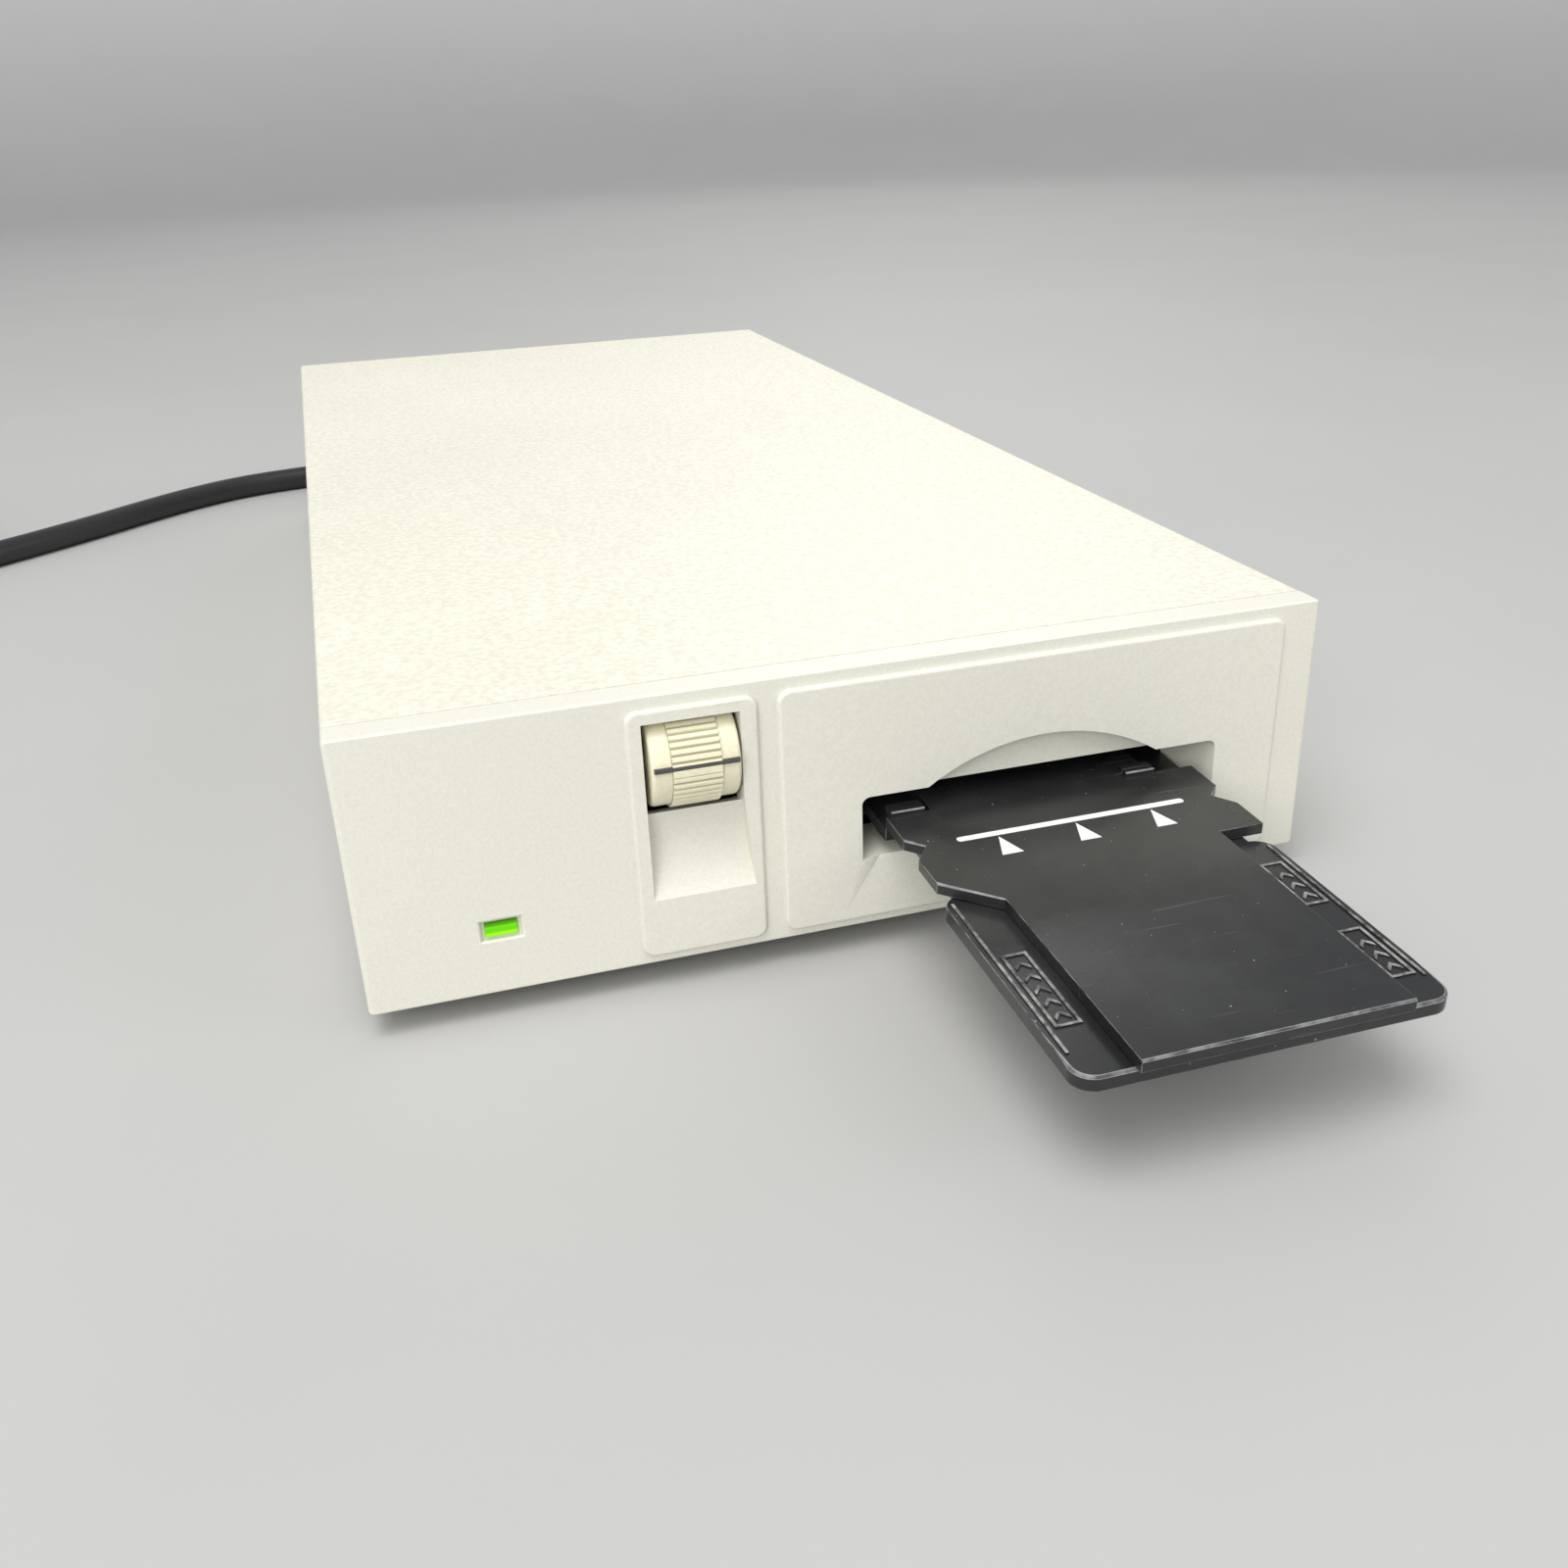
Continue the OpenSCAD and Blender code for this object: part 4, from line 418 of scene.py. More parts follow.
def field_rim(spot, edge):
    """The outlines of the two raised fields, in their front plane."""
    if not all(near(v.co.y, field_y) for v in edge.verts):
        return False
    for x0, x1 in fields_x:
        inside = x0 - 0.0001 < spot.x < x1 + 0.0001
        rim = min(spot.x - x0, x1 - spot.x, spot.z - fields_z[0], fields_z[1] - spot.z)
        if inside and rim < 0.0007:
            return True
    return False


def window_corner(spot, edge):
    """The two upper corners of the wheel's window, which run inwards."""
    a, b = (v.co for v in edge.verts)
    inwards = abs(a.y - b.y) > 0.0003 and near(a.x, b.x) and near(a.z, b.z)
    at_top = near(spot.z, window_top, 0.0002) and window_x[0] < spot.x < window_x[1]
    return inwards and at_top and spot.y < 0.0


def mouth_corner(spot, edge):
    """The inner corners of the funnel, which run from the mouth to the throat."""
    a, b = (v.co for v in edge.verts)
    at_side = min(abs(v.x - mouth_x) for v in (a, b) for mouth_x in (mouth_low.x, mouth_high.x))
    return abs(a.y - b.y) > 0.004 and at_side < 0.0002 and 0.013 < spot.z < 0.027


def mouth_rim(spot, edge):
    """The outline of the slot's mouth: its ends and level edges in the front plane, and its lower lip."""
    a, b = (v.co for v in edge.verts)
    in_width = mouth_low.x - 0.0003 < spot.x < mouth_high.x + 0.0003
    if not (in_width and lip_z - 0.0003 < spot.z < mouth_high.z + 0.0002):
        return False
    at_end = min(abs(spot.x - mouth_low.x), abs(spot.x - mouth_high.x)) < 0.0013
    end = near(a.y, field_y) and near(b.y, field_y) and (at_end or near(a.z, b.z))
    level = near(a.z, b.z, 0.0002) and near(spot.z, lip_z, 0.0002)
    lip = level and abs(a.x - b.x) > 0.002 and spot.y < face_y + 0.001
    return edge.is_convex and (end or lip)


def outer_edge(spot, edge):
    """The four edges around the front face and the two upper corners that run back from them."""
    at_side = near(abs(spot.x), half_w)
    at_end = near(spot.z, top_z) or near(spot.z, under_z)
    in_front = near(spot.y, face_y) and (at_side or at_end)
    return in_front or (at_side and at_end and spot.y < face_y + 0.0055)


def scoop_fillet(spot, edge):
    """The hollow corners of the scoop under the wheel's window."""
    inside = -0.034 < spot.x < -0.0158 and scoop_foot < spot.z < 0.0278
    return not edge.is_convex and inside and spot.y < face_y + 0.002


def scoop_rim(spot, edge):
    """The scoop's outline on the field, from the window down to its lower lip."""
    inside = scoop_x[0] < spot.x < scoop_x[1] and scoop_foot < spot.z < 0.0420
    return edge.is_convex and inside and all(near(v.co.y, field_y, 0.0002) for v in edge.verts)


def scoop_lip(spot, edge):
    """The scoop's lower lip, where a thumb runs out on to the field."""
    level = abs(edge.verts[0].co.z - edge.verts[1].co.z) < 0.0005
    return scoop_rim(spot, edge) and spot.z < 0.0148 and level


def light_recess(spot, edge):
    """The outline of the status light's recess in the face."""
    return near(spot.y, face_y) and abs(spot.x - light_x) < 0.0035 and abs(spot.z - light_z) < 0.0022


def small_edge(spot, edge):
    """Every other outward edge that can be seen from the front, but for the ramp's slanted sides."""
    a, b = (v.co for v in edge.verts)
    slanted = abs(a.x - b.x) > 0.001 and abs(a.z - b.z) > 0.005
    return edge.is_convex and spot.y < face_y + 0.003 and edge.calc_length() > 0.0002 and not slanted


def ramp_side(corner_x, side):
    """Turns an upright side of the ramp into a soft slope, with a wedge between its foot and the lip."""
    foot_x, slope_x = corner_x - side * slope_out, corner_x + side * slope_in
    foot_z, back_y = fields_z[0], lip_y + buried_lip
    wedge_mesh = bpy.data.meshes.new("ramp_side")
    wedge_mesh.from_pydata([
        (foot_x, field_y, foot_z), (corner_x, field_y, lip_z), (slope_x, lip_y, lip_z),
        (foot_x, field_y + buried_foot, foot_z), (corner_x - side * buried_lip, back_y, lip_z),
        (slope_x, back_y, lip_z - buried_lip / 2),
    ], [], [])
    wedge = bpy.data.objects.new("ramp_side", wedge_mesh)
    bpy.context.scene.collection.objects.link(wedge)
    pick(wedge)
    bpy.ops.object.mode_set(mode="EDIT")
    bpy.ops.mesh.select_all(action="SELECT")
    bpy.ops.mesh.convex_hull()
    bpy.ops.object.mode_set(mode="OBJECT")
    bpy.context.view_layer.objects.active = bezel
    bpy.ops.object.modifier_add(type="BOOLEAN")
    bezel.modifiers[-1].operation = "UNION"
    bezel.modifiers[-1].solver = "EXACT"
    bezel.modifiers[-1].object = wedge
    bpy.ops.object.modifier_apply(modifier=bezel.modifiers[-1].name)
    bpy.ops.object.delete()


ramp_side(mouth_low.x, 1)
ramp_side(mouth_high.x, -1)
pick(bezel)
flatten(0.000003)

# Each radius is clamped to the room that the faces beside it leave. The window's corners end near
# 0.16 mm, the scoop's lip below 0.1 mm, and the scoop's rim and the small edges only lose slivers.
round_edges(bezel, 0.0010, 4, window_corner)
round_edges(bezel, 0.0012, 4, mouth_corner)
round_edges(bezel, 0.0007, 4, outer_edge)
round_edges(bezel, 0.0006, 5, field_rim)
round_edges(bezel, 0.0012, 5, scoop_fillet)
round_edges(bezel, 0.0006, 4, mouth_rim)
round_edges(bezel, 0.0009, 4, scoop_lip)
round_edges(bezel, 0.0004, 3, scoop_rim)
round_edges(bezel, 0.0004, 4, light_recess)
round_edges(bezel, 0.0002, 2, small_edge, sharp=40)
smooth(bezel, 30)
bezel_plastic = moulded("bezel_plastic", (0.728, 0.720, 0.632), (0.790, 0.782, 0.698), 1900, 14, 0.16,
                        0.42, 0.50, speckle=0.7)
bezel.data.materials.append(bezel_plastic)
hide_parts("front_bezel")
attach(bezel, "case")

# ---------- steel cover ----------
# Cream paint with a fine orange peel on folded 1 mm sheet. The folds along both sides have a small
# radius, and the front edge stops short of the bezel, which leaves the thin dark seam.
cover = from_cad("top_cover", "painted_cover")
round_edges(cover, 0.0009, 4, lambda spot, edge: near(abs(spot.x), half_w) and near(spot.z, top_z))
round_edges(cover, 0.00015, 1, lambda spot, edge: edge.is_convex and edge.calc_length() > 0.02)
smooth(cover, 30)
cover_paint = moulded("cover_paint", (0.700, 0.683, 0.575), (0.860, 0.842, 0.732), 900, 9, 0.40,
                      0.46, 0.56, speckle=0.75)
cover.data.materials.append(cover_paint)
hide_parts("top_cover")
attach(cover, "case")

# ---------- status light ----------
# A clear green block glows in a small recess of the bezel, with darker bands at its top and foot
# where the light inside falls off.
lens = from_cad("status_lens", "status_light")
round_edges(lens, 0.00025, 3, lambda spot, edge: spot.y < face_y + 0.001)
smooth(lens)
lens_low, lens_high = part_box("status_lens")
lens_green, tree, shader = new_finish("status_green", Roughness=0.35)
shader.inputs["Specular IOR Level"].default_value = 0.10
shader.inputs["Emission Strength"].default_value = 0.55
here = place(tree, "ShaderNodeTexCoord").outputs["Object"]
height = place(tree, "ShaderNodeSeparateXYZ", {"Vector": here}).outputs["Z"]
edge_band = 0.0008
rise = place(tree, "ShaderNodeMapRange",
             {"Value": height, "From Min": lens_low.z + edge_band, "From Max": lens_high.z - edge_band})
bands = place(tree, "ShaderNodeValToRGB", {"Fac": rise.outputs["Result"]})
ramp = bands.color_ramp
ramp.elements[0].position, ramp.elements[0].color = 0.0, (0.08, 0.36, 0.004, 1)
ramp.elements[1].position, ramp.elements[1].color = 1.0, (0.04, 0.16, 0.004, 1)
for spot, colour in (
    (0.12, (0.22, 0.66, 0.008, 1)), (0.24, (0.27, 0.70, 0.01, 1)), (0.36, (0.12, 0.50, 0.005, 1)),
    (0.52, (0.10, 0.46, 0.005, 1)), (0.70, (0.12, 0.50, 0.006, 1)), (0.82, (0.07, 0.27, 0.004, 1)),
):
    ramp.elements.new(spot).color = colour
tree.links.new(bands.outputs["Color"], shader.inputs["Base Color"])
tree.links.new(bands.outputs["Color"], shader.inputs["Emission Color"])
lens.data.materials.append(lens_green)
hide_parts("status_lens")
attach(lens, "case")

# ---------- focus wheel ----------
# A thumb wheel of the same plastic, turned yellow with age. Its middle band is ribbed for grip, and
# a dark bar let into its rim shows where it stands. Painted shade darkens the grooves of the ribbed band.
wheel = from_cad("focus_wheel", "focus_thumb_wheel")
wheel_low, wheel_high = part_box("focus_wheel")
wheel_x = (wheel_low.x + wheel_high.x) / 2
axis_y = (wheel_low.y + wheel_high.y) / 2
axis_z = (wheel_low.z + wheel_high.z) / 2
rim_r = (wheel_high.z - wheel_low.z) / 2
groove_depth, band_half = 0.00036, 0.00352
round_edges(wheel, 0.0006, 4, lambda spot, edge: near(spot.x, wheel_low.x) or near(spot.x, wheel_high.x),
            sharp=60)
smooth(wheel, 35)
wheel_plastic, tree, shader = new_finish("wheel_plastic")
texture = place(tree, "ShaderNodeGroup", node_tree=grain)
texture.inputs["Tone"].default_value = (0.77, 0.735, 0.535, 1)
texture.inputs["Second Tone"].default_value = (0.86, 0.825, 0.635, 1)
texture.inputs["Grain Scale"].default_value = 1500
texture.inputs["Patch Scale"].default_value = 160
texture.inputs["Speckle"].default_value = 0.5
here = place(tree, "ShaderNodeTexCoord").outputs["Object"]
place_in = place(tree, "ShaderNodeSeparateXYZ", {"Vector": here})
from_y = maths(tree, "SUBTRACT", place_in.outputs["Y"], axis_y)
from_z = maths(tree, "SUBTRACT", place_in.outputs["Z"], axis_z)
out_square = maths(tree, "MULTIPLY_ADD", from_z, from_z, maths(tree, "MULTIPLY", from_y, from_y))
reach = maths(tree, "SQRT", out_square)
sunk = place(tree, "ShaderNodeMapRange",
             {"Value": reach, "From Min": rim_r - 0.0001, "From Max": rim_r - groove_depth})
off_middle = maths(tree, "ABSOLUTE", maths(tree, "SUBTRACT", place_in.outputs["X"], wheel_x))
in_band = maths(tree, "LESS_THAN", off_middle, band_half)
# Painted shade: the bottoms of the ribbed band's grooves are mixed towards a dark brown and made rougher.
groove_shade = maths(tree, "MULTIPLY", maths(tree, "MULTIPLY", sunk.outputs["Result"], in_band), 0.75)
tone = place(tree, "ShaderNodeMix", {"Factor": groove_shade}, data_type="RGBA")
tone.inputs["B"].default_value = (0.30, 0.265, 0.15, 1)
tree.links.new(texture.outputs["Color"], tone.inputs["A"])
tree.links.new(tone.outputs["Result"], shader.inputs["Base Color"])
rough = place(tree, "ShaderNodeMapRange", {"Value": groove_shade, "To Min": 0.42, "To Max": 0.75})
tree.links.new(rough.outputs["Result"], shader.inputs["Roughness"])
relief = place(tree, "ShaderNodeBump",
               {"Height": texture.outputs["Height"], "Strength": 0.15, "Distance": 0.0002})
tree.links.new(relief.outputs["Normal"], shader.inputs["Normal"])
wheel.data.materials.append(wheel_plastic)
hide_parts("focus_wheel")
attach(wheel, "wheel")

bpy.ops.object.select_all(action="DESELECT")
bpy.ops.mesh.primitive_cube_add(size=1)
index_bar = bpy.context.object
index_bar.name = "wheel_index_bar"
index_bar.scale = (wheel_high.x - wheel_low.x - 0.0006, 0.0008, 0.00068)
bpy.ops.object.transform_apply(location=True, rotation=True, scale=True)
round_edges(index_bar, 0.00012, 2, lambda spot, edge: spot.y < 0)
lean = Matrix.Rotation(math.radians(-6.5), 4, "X")
to_rim = Matrix.Translation((0, -rim_r + 0.00038, 0))
index_bar.matrix_world = Matrix.Translation((wheel_x, axis_y, axis_z)) @ lean @ to_rim
bpy.ops.object.transform_apply(location=True, rotation=True, scale=True)
line_print = moulded("index_paint", (0.050, 0.048, 0.046), (0.085, 0.082, 0.08), 1800, 200, 0.1, 0.45, 0.6)
index_bar.data.materials.append(line_print)
smooth(index_bar)
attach(index_bar, "wheel")

# ---------- film holder ----------
# Two plates of black plastic, hinged at the inner end. The upper one carries the ears that stop it at
# the slot and the white marks; the lower one has the two wings. Years of handling have left fine
# scratches and dust on their faces and rubbed their edges a little paler. The upper edges that face
# the light carry a painted highlight in pale grey.
def rubbed_group():
    """Inputs: two tones and how much dust, scratching and rubbing. Outputs: colour, mask, height."""
    group = bpy.data.node_groups.new("rubbed_and_dusty", "ShaderNodeTree")
    face = group.interface
    for name in ("Tone", "Pale Tone"):
        face.new_socket(name, in_out="INPUT", socket_type="NodeSocketColor")
    for name in ("Dust", "Scratches", "Rubbing"):
        face.new_socket(name, in_out="INPUT", socket_type="NodeSocketFloat")
    face.new_socket("Color", in_out="OUTPUT", socket_type="NodeSocketColor")
    for name in ("Mask", "Height"):
        face.new_socket(name, in_out="OUTPUT", socket_type="NodeSocketFloat")
    given = group.nodes.new("NodeGroupInput").outputs
    out = group.nodes.new("NodeGroupOutput").inputs
    here = place(group, "ShaderNodeTexCoord").outputs["Object"]

    specks = []
    for scale, size in ((330.0, 0.055), (900.0, 0.10)):
        cells = place(group, "ShaderNodeTexVoronoi", {"Vector": here, "Scale": scale})
        chance = place(group, "ShaderNodeSeparateColor", {"Color": cells.outputs["Color"]}).outputs["Red"]
        room = maths(group, "MULTIPLY", maths(group, "POWER", chance, 5.0), size)
        specks.append(maths(group, "LESS_THAN", cells.outputs["Distance"], room))
    dust = maths(group, "MULTIPLY", maths(group, "MAXIMUM", *specks), given["Dust"])
    lines = []
    for turn, stretch in ((0.35, (60, 1400, 60)), (-0.75, (45, 1100, 45)), (1.25, (50, 1250, 50))):
        tilted = place(group, "ShaderNodeMapping",
                       {"Vector": here, "Rotation": (0, 0, turn), "Scale": stretch})
        streak = place(group, "ShaderNodeTexNoise",
                       {"Vector": tilted.outputs["Vector"], "Scale": 1.0, "Detail": 2.0})
        thinned = place(group, "ShaderNodeMapRange",
                        {"Value": streak.outputs["Fac"], "From Min": 0.695, "From Max": 0.735})
        lines.append(thinned.outputs["Result"])
    lined = maths(group, "MAXIMUM", maths(group, "MAXIMUM", lines[0], lines[1]), lines[2])

    def patches(scale, detail, low, high, **more):
        """Cloudy patches: noise of a scale and detail, stretched between two of its levels."""
        noise = {"Vector": here, "Scale": scale, "Detail": detail, "Roughness": more.get("roughness", 0.5)}
        cloud = place(group, "ShaderNodeTexNoise", noise).outputs["Fac"]
        levels = {"Value": cloud, "From Min": low, "From Max": high, "To Max": more.get("most", 1.0)}
        return place(group, "ShaderNodeMapRange", levels).outputs["Result"]

    where = patches(55.0, 3.0, 0.42, 0.62)
    scratches = maths(group, "MULTIPLY", maths(group, "MULTIPLY", lined, where), given["Scratches"])
    rubbed = maths(group, "MULTIPLY", patches(420.0, 5.0, 0.40, 0.60, roughness=0.65), given["Rubbing"])
    haze = patches(38.0, 5.0, 0.45, 0.75, roughness=0.6, most=0.04)
    mask = maths(group, "MAXIMUM", maths(group, "MAXIMUM", dust, scratches), rubbed)
    mask = maths(group, "MAXIMUM", mask, haze)
    tone = place(group, "ShaderNodeMix", {"Factor": mask}, data_type="RGBA")
    group.links.new(given["Tone"], tone.inputs["A"])
    group.links.new(given["Pale Tone"], tone.inputs["B"])
    grainy = place(group, "ShaderNodeTexNoise", {"Vector": here, "Scale": 2200.0, "Detail": 2.0})
    group.links.new(tone.outputs["Result"], out["Color"])
    group.links.new(mask, out["Mask"])
    group.links.new(grainy.outputs["Fac"], out["Height"])
    return group


rubbed = rubbed_group()


def handled(name, tone, pale, dust, scratches, rubbing, low_rough, high_rough):
    """A material that shows handling: dust, scratches and rubbed edges over a dark moulding."""
    finish, tree, shader = new_finish(name)
    marks = place(tree, "ShaderNodeGroup", node_tree=rubbed)
    marks.inputs["Tone"].default_value = (*tone, 1)
    marks.inputs["Pale Tone"].default_value = (*pale, 1)
    for socket, value in (("Dust", dust), ("Scratches", scratches), ("Rubbing", rubbing)):
        marks.inputs[socket].default_value = value
    rough = place(tree, "ShaderNodeMapRange",
                  {"Value": marks.outputs["Mask"], "To Min": low_rough, "To Max": high_rough})
    relief = place(tree, "ShaderNodeBump",
                   {"Height": marks.outputs["Height"], "Strength": 0.12, "Distance": 0.0001})
    tree.links.new(marks.outputs["Color"], shader.inputs["Base Color"])
    tree.links.new(rough.outputs["Result"], shader.inputs["Roughness"])
    tree.links.new(relief.outputs["Normal"], shader.inputs["Normal"])
    return finish


holder_pitch = math.radians(2.4)
holder_black = handled("holder_black", (0.016, 0.0165, 0.0175), (0.50, 0.51, 0.50),
                       0.7, 0.10, 0.0, 0.27, 0.5)
holder_edge = handled("holder_worn_edge", (0.030, 0.031, 0.033), (0.40, 0.41, 0.42),
                      0.3, 0.4, 0.45, 0.32, 0.5)
# Painted highlight: a pale grey for the upper edges that face the light, on both plates and the stops.
holder_highlight_grey = handled("holder_painted_highlight", (0.20, 0.205, 0.21), (0.46, 0.47, 0.48),
                      0.2, 0.4, 0.5, 0.28, 0.45)
holder_lines = handled("holder_worn_lines", (0.045, 0.046, 0.048), (0.42, 0.42, 0.40),
                       0.3, 0.5, 0.75, 0.4, 0.6)
pivot = Vector((0.0277, face_y, 0.0215))


def on_holder(spot):
    """The place along the holder's own axes: across, inwards and up from its top face."""
    shifted = spot - pivot
    along, up = shifted.y, shifted.z
    return Vector((
        shifted.x,
        along * math.cos(holder_pitch) + up * math.sin(holder_pitch),
        up * math.cos(holder_pitch) - along * math.sin(holder_pitch),
    ))


lid = from_cad("holder_cover", "holder_top_plate")
for finish in (holder_black, holder_edge, holder_highlight_grey):
    lid.data.materials.append(finish)


def lit_rim(spot, edge):
    """Upper edges facing the light, for the painted highlight: the front one and the left ear's forward
    ones.
    """
    place_on = on_holder(spot)
    on_top = abs(place_on.z) < 0.00005
    a, b = (on_holder(v.co) for v in edge.verts)
    forwards = any(face.normal.y < -0.45 and abs(face.normal.z) < 0.9 for face in edge.link_faces)
    nose, ear = place_on.y < -0.0620, -0.0280 < place_on.y < -0.0006 and place_on.x < -0.017
    return on_top and forwards and (nose or ear) and (a - b).length > 0.0005


# Slot 2 is the painted highlight.
round_edges(lid, 0.00030, 3, lit_rim, slot=2)
round_edges(lid, 0.00018, 2, lambda spot, edge: on_holder(spot).y < 0.005 and edge.is_convex, slot=1)
smooth(lid)
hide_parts("holder_cover")
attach(lid, "holder_lid")

tray = from_cad("holder_base", "holder_lower_plate")
for finish in (holder_black, holder_edge, holder_highlight_grey, holder_lines):
    tray.data.materials.append(finish)
wing_top, wing_from, wing_to = -0.0019, -0.022, -0.0583
for face in tray.data.polygons:
    place_on = on_holder(face.center)
    if place_on.z > wing_top + 0.0002 and place_on.y < wing_from:
        face.material_index = 3


def wing_nose(spot, edge):
    """The upper edge along the outer end of the two wings, round both corners."""
    place_on = on_holder(spot)
    return edge.is_convex and abs(place_on.z - wing_top) < 0.00005 and place_on.y < wing_to


def wing_edge(spot, edge):
    """The outward edges of the wings, up to their top face."""
    place_on = on_holder(spot)
    outside = place_on.y < 0.0 and place_on.z < wing_top + 0.00005
    return outside and edge.is_convex and edge.calc_length() > 0.0003


def raised_line(spot, edge):
    """The upper edges of the frames and arrows that stand on the wings."""
    place_on = on_holder(spot)
    return edge.is_convex and place_on.y < wing_from and place_on.z > wing_top + 0.0002


# The wings' upper outer edge gets the painted highlight (slot 2).
round_edges(tray, 0.0004, 3, wing_nose, slot=2)
round_edges(tray, 0.0002, 2, wing_edge, slot=1)
round_edges(tray, 0.00007, 1, raised_line, slot=3)
smooth(tray)
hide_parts("holder_base")
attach(tray, "film_holder")

# White printed line and three pointers on the upper plate, a few hundredths thick, and two low black
# stops just inside the slot.
mark_white = moulded("mark_white", (0.78, 0.78, 0.77), (0.90, 0.90, 0.89), 1500, 400, 0.1, 0.45, 0.6)
seat = Matrix.Translation(pivot) @ Matrix.Rotation(holder_pitch, 4, "X")


def joined(parts, name):
    """Joins several pieces into one, under a new name."""
    pick(parts[0])
    for part in parts[1:]:
        part.select_set(True)
    bpy.ops.object.join()
    bpy.context.object.name = name
    return bpy.context.object


marks = []
for shape, across, along in (("line", 0, -0.0101), ("pointer", -0.012, -0.0144), ("pointer", 0, -0.0144),
                             ("pointer", 0.012, -0.0144)):
    bpy.ops.object.select_all(action="DESELECT")
    if shape == "line":
        bpy.ops.mesh.primitive_cube_add(size=1)
        mark = bpy.context.object
        mark.scale = (0.0358, 0.0012, 0.00006)
    else:
        bpy.ops.mesh.primitive_cylinder_add(vertices=3, radius=1, depth=1)
        mark = bpy.context.object
        mark.scale = (0.00185, 0.00327, 0.00006)
    bpy.ops.object.transform_apply(location=True, rotation=True, scale=True)
    if shape == "line":
        round_edges(mark, 0.0005, 4,
                    lambda spot, edge: abs(edge.verts[0].co.z - edge.verts[1].co.z) > 0.00003)
    mark.matrix_world = seat @ Matrix.Translation((across, along, 0.00002))
    bpy.ops.object.transform_apply(location=True, rotation=True, scale=True)
    marks.append(mark)
prints = joined(marks, "holder_marks")
prints.data.materials.append(mark_white)
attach(prints, "holder_lid")

for name, across, width in (("left_stop", -0.0215, 0.0052), ("right_stop", 0.0162, 0.0048)):
    bpy.ops.object.select_all(action="DESELECT")
    bpy.ops.mesh.primitive_cube_add(size=1)
    stop = bpy.context.object
    stop.name = name
    stop.scale = (width, 0.0026, 0.0019)
    bpy.ops.object.transform_apply(location=True, rotation=True, scale=True)
    stop.data.materials.append(holder_black)
    stop.data.materials.append(holder_highlight_grey)
    # The stops' upper front edges get the painted highlight (slot 1).
    round_edges(stop, 0.00022, 2, lambda spot, edge: spot.y < 0 and spot.z > 0, slot=1)
    round_edges(stop, 0.00022, 2, lambda spot, edge: spot.y > 0 or spot.z < 0)
    stop.matrix_world = seat @ Matrix.Translation((across, 0.0008, -0.00035))
    bpy.ops.object.transform_apply(location=True, rotation=True, scale=True)
    smooth(stop)
    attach(stop, "holder_lid")

# ---------- case screws ----------
# Ten zinc-plated cross-head screws: six in the back panel and four that hold the optical base from
# below. The rims of their heads are rounded.
screws = from_cad("case_screws", "cross_head_screws")
back_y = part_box("back_panel")[1].y
head_h = 0.0016


def head_rim(spot, edge):
    """The round outline of each head, on the side away from the panel it stands on."""
    outermost = near(spot.y, back_y + head_h) or near(spot.z, under_z - head_h)
    return outermost and edge.is_convex and edge.calc_length() < 0.0014 and edge.calc_face_angle(0) > 1.2


round_edges(screws, 0.0005, 3, head_rim)
smooth(screws)
screw_zinc = moulded("zinc_plated_screw", (0.60, 0.60, 0.58), (0.70, 0.70, 0.68), 1500, 200, 0.05,
                     0.22, 0.36, Metallic=1.0)
screws.data.materials.append(screw_zinc)
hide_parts("case_screws")
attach(screws, "case")

# ---------- switch marks ----------
# The usual stroke and ring, moulded in white on the two halves of the mains rocker.
hinge_low, hinge_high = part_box("power_rocker")
rocker_x = (hinge_low.x + hinge_high.x) / 2
marks = []
for shape, spot, tilt in (
    ("stroke", (rocker_x, 0.18797, 0.02940), -1.46),
    ("ring", (rocker_x, 0.18897, 0.02227), 17.46),
):
    bpy.ops.object.select_all(action="DESELECT")
    if shape == "stroke":
        bpy.ops.mesh.primitive_cube_add(size=1)
        mark = bpy.context.object
        mark.scale = (0.0005, 0.00008, 0.0026)
    else:
        bpy.ops.mesh.primitive_torus_add(major_radius=0.0011, minor_radius=0.00022, major_segments=32,
                                         minor_segments=8, rotation=(math.radians(90), 0, 0))
        mark = bpy.context.object
        mark.scale = (1, 1, 0.2)
    bpy.ops.object.transform_apply(location=True, rotation=True, scale=True)
    mark.matrix_world = Matrix.Translation(spot) @ Matrix.Rotation(math.radians(tilt), 4, "X")
    bpy.ops.object.transform_apply(location=True, rotation=True, scale=True)
    marks.append(mark)
switch_marks = joined(marks, "rocker_marks")
switch_marks.data.materials.append(mark_white)
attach(switch_marks, "rocker")

# ---------- remaining nodes ----------
# What is left keeps its CAD shape and gets the surface of its real material: sheet, ground steel,
# castings and brass, black plastic, rubber, acetal, boards and chips, tape, glass and the mirror.
zinc = moulded("zinc_sheet", (0.50, 0.50, 0.48), (0.60, 0.60, 0.58), 700, 60, 0.1, 0.32, 0.5, Metallic=1.0)
bright = moulded("ground_steel", (0.58, 0.58, 0.60), (0.66, 0.66, 0.68), 2200, 90, 0.05, 0.18, 0.3,
                 Metallic=1.0)
alloy = moulded("cast_alloy", (0.42, 0.43, 0.44), (0.52, 0.53, 0.54), 900, 120, 0.35, 0.4, 0.6,
                Metallic=1.0)
turned_brass = moulded("turned_brass", (0.62, 0.47, 0.20), (0.70, 0.55, 0.27), 1800, 90, 0.08, 0.2, 0.35,
                       Metallic=1.0)
soft_black = moulded("soft_black", (0.022, 0.022, 0.024), (0.034, 0.034, 0.036), 1300, 60, 0.3, 0.5, 0.65)
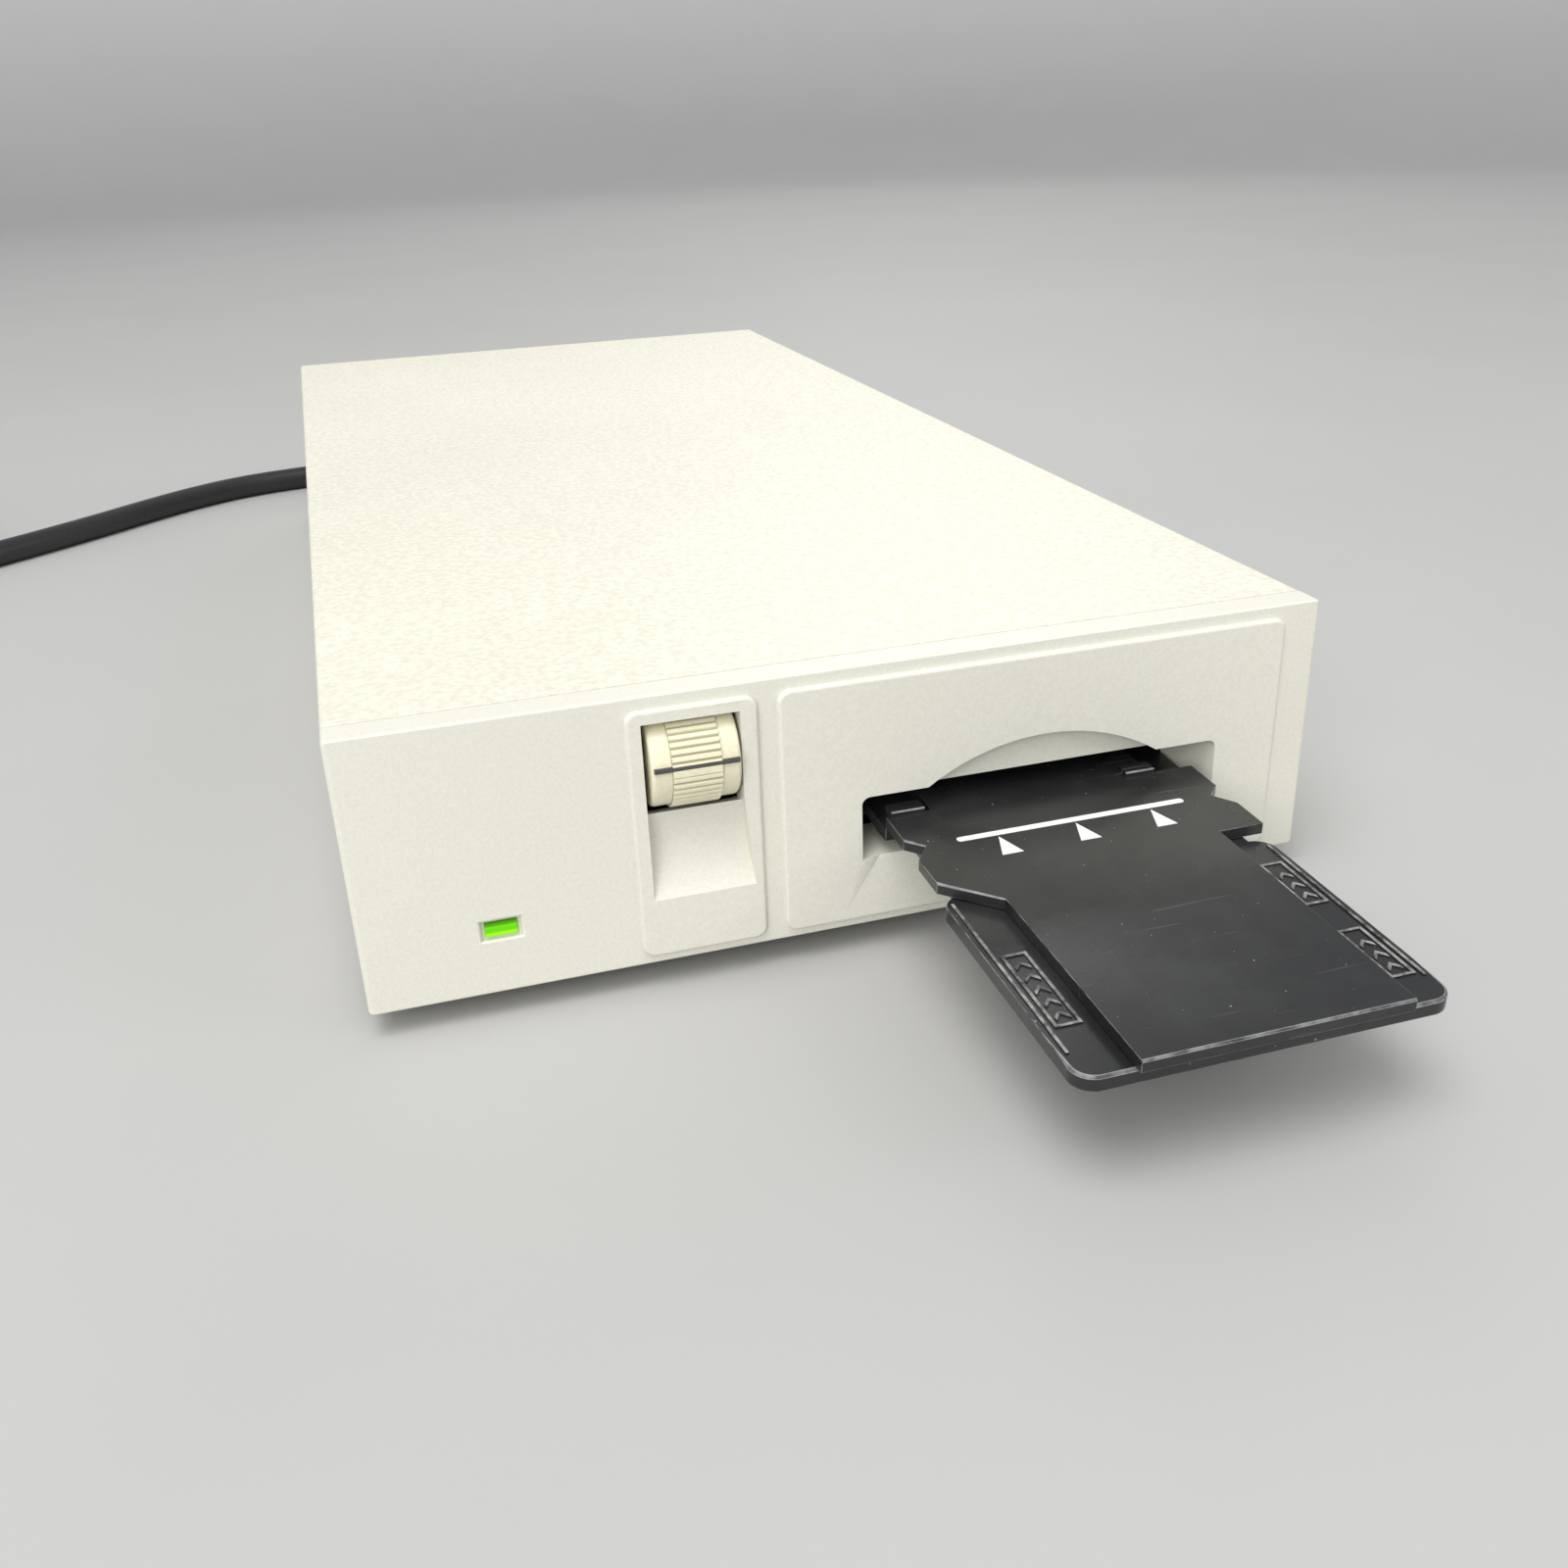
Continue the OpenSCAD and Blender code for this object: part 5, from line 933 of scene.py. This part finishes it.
foot_rubber = moulded("foot_rubber", (0.016, 0.016, 0.016), (0.028, 0.028, 0.027), 1600, 150, 0.5, 0.7,
                      0.85)
acetal = moulded("natural_acetal", (0.66, 0.63, 0.54), (0.72, 0.70, 0.61), 900, 90, 0.06, 0.35, 0.45)
mask_green = moulded("solder_mask", (0.015, 0.11, 0.045), (0.022, 0.15, 0.06), 1200, 120, 0.1, 0.25, 0.4)
chip_epoxy = moulded("chip_epoxy", (0.02, 0.02, 0.021), (0.032, 0.032, 0.034), 2500, 120, 0.3, 0.5, 0.65)
winding_tape = moulded("winding_tape", (0.62, 0.42, 0.06), (0.72, 0.52, 0.10), 600, 90, 0.15, 0.35, 0.5)
sleeve_blue = moulded("capacitor_sleeve", (0.02, 0.03, 0.12), (0.03, 0.05, 0.17), 700, 60, 0.05, 0.2, 0.35)
clear_glass = moulded("coated_glass", (0.75, 0.85, 0.92), (0.82, 0.90, 0.95), 300, 40, 0.0, 0.04, 0.08,
                      Transmission_Weight=0.9, IOR=1.5)
silvered = moulded("silvered_face", (0.88, 0.90, 0.91), (0.92, 0.93, 0.94), 300, 40, 0.0, 0.02, 0.06,
                   Metallic=1.0)
for finish, names in (
    (zinc, "bottom_pan back_panel scan_motor lamp_bridge data_ports"),
    (bright, "wheel_axle idler_stud focus_rod holder_hinge_pin lead_screw guide_rods lens_rods"),
    (alloy, "lens_carriage optical_base heat_sink"),
    (turned_brass, "carriage_bushes drive_nut holder_springs screw_bush board_standoffs jack_posts"),
    (soft_black, "throat_plate wheel_bracket lens_barrel film_carriage lamp_block fan_frame fan_rotor "
                 "mains_inlet switch_body power_rocker"),
    (foot_rubber, "rubber_feet"),
    (acetal, "wheel_pinion idler_gear id_dial"),
    (mask_green, "status_board sensor_board main_board power_board"),
    (chip_epoxy, "line_sensor board_chips id_switch"),
    (winding_tape, "power_transformer"),
    (sleeve_blue, "power_capacitors"),
    (clear_glass, "lens_glass light_rod"),
    (silvered, "fold_mirror"),
):
    for node in names.split():
        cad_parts[node].data.materials.clear()
        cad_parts[node].data.materials.append(finish)
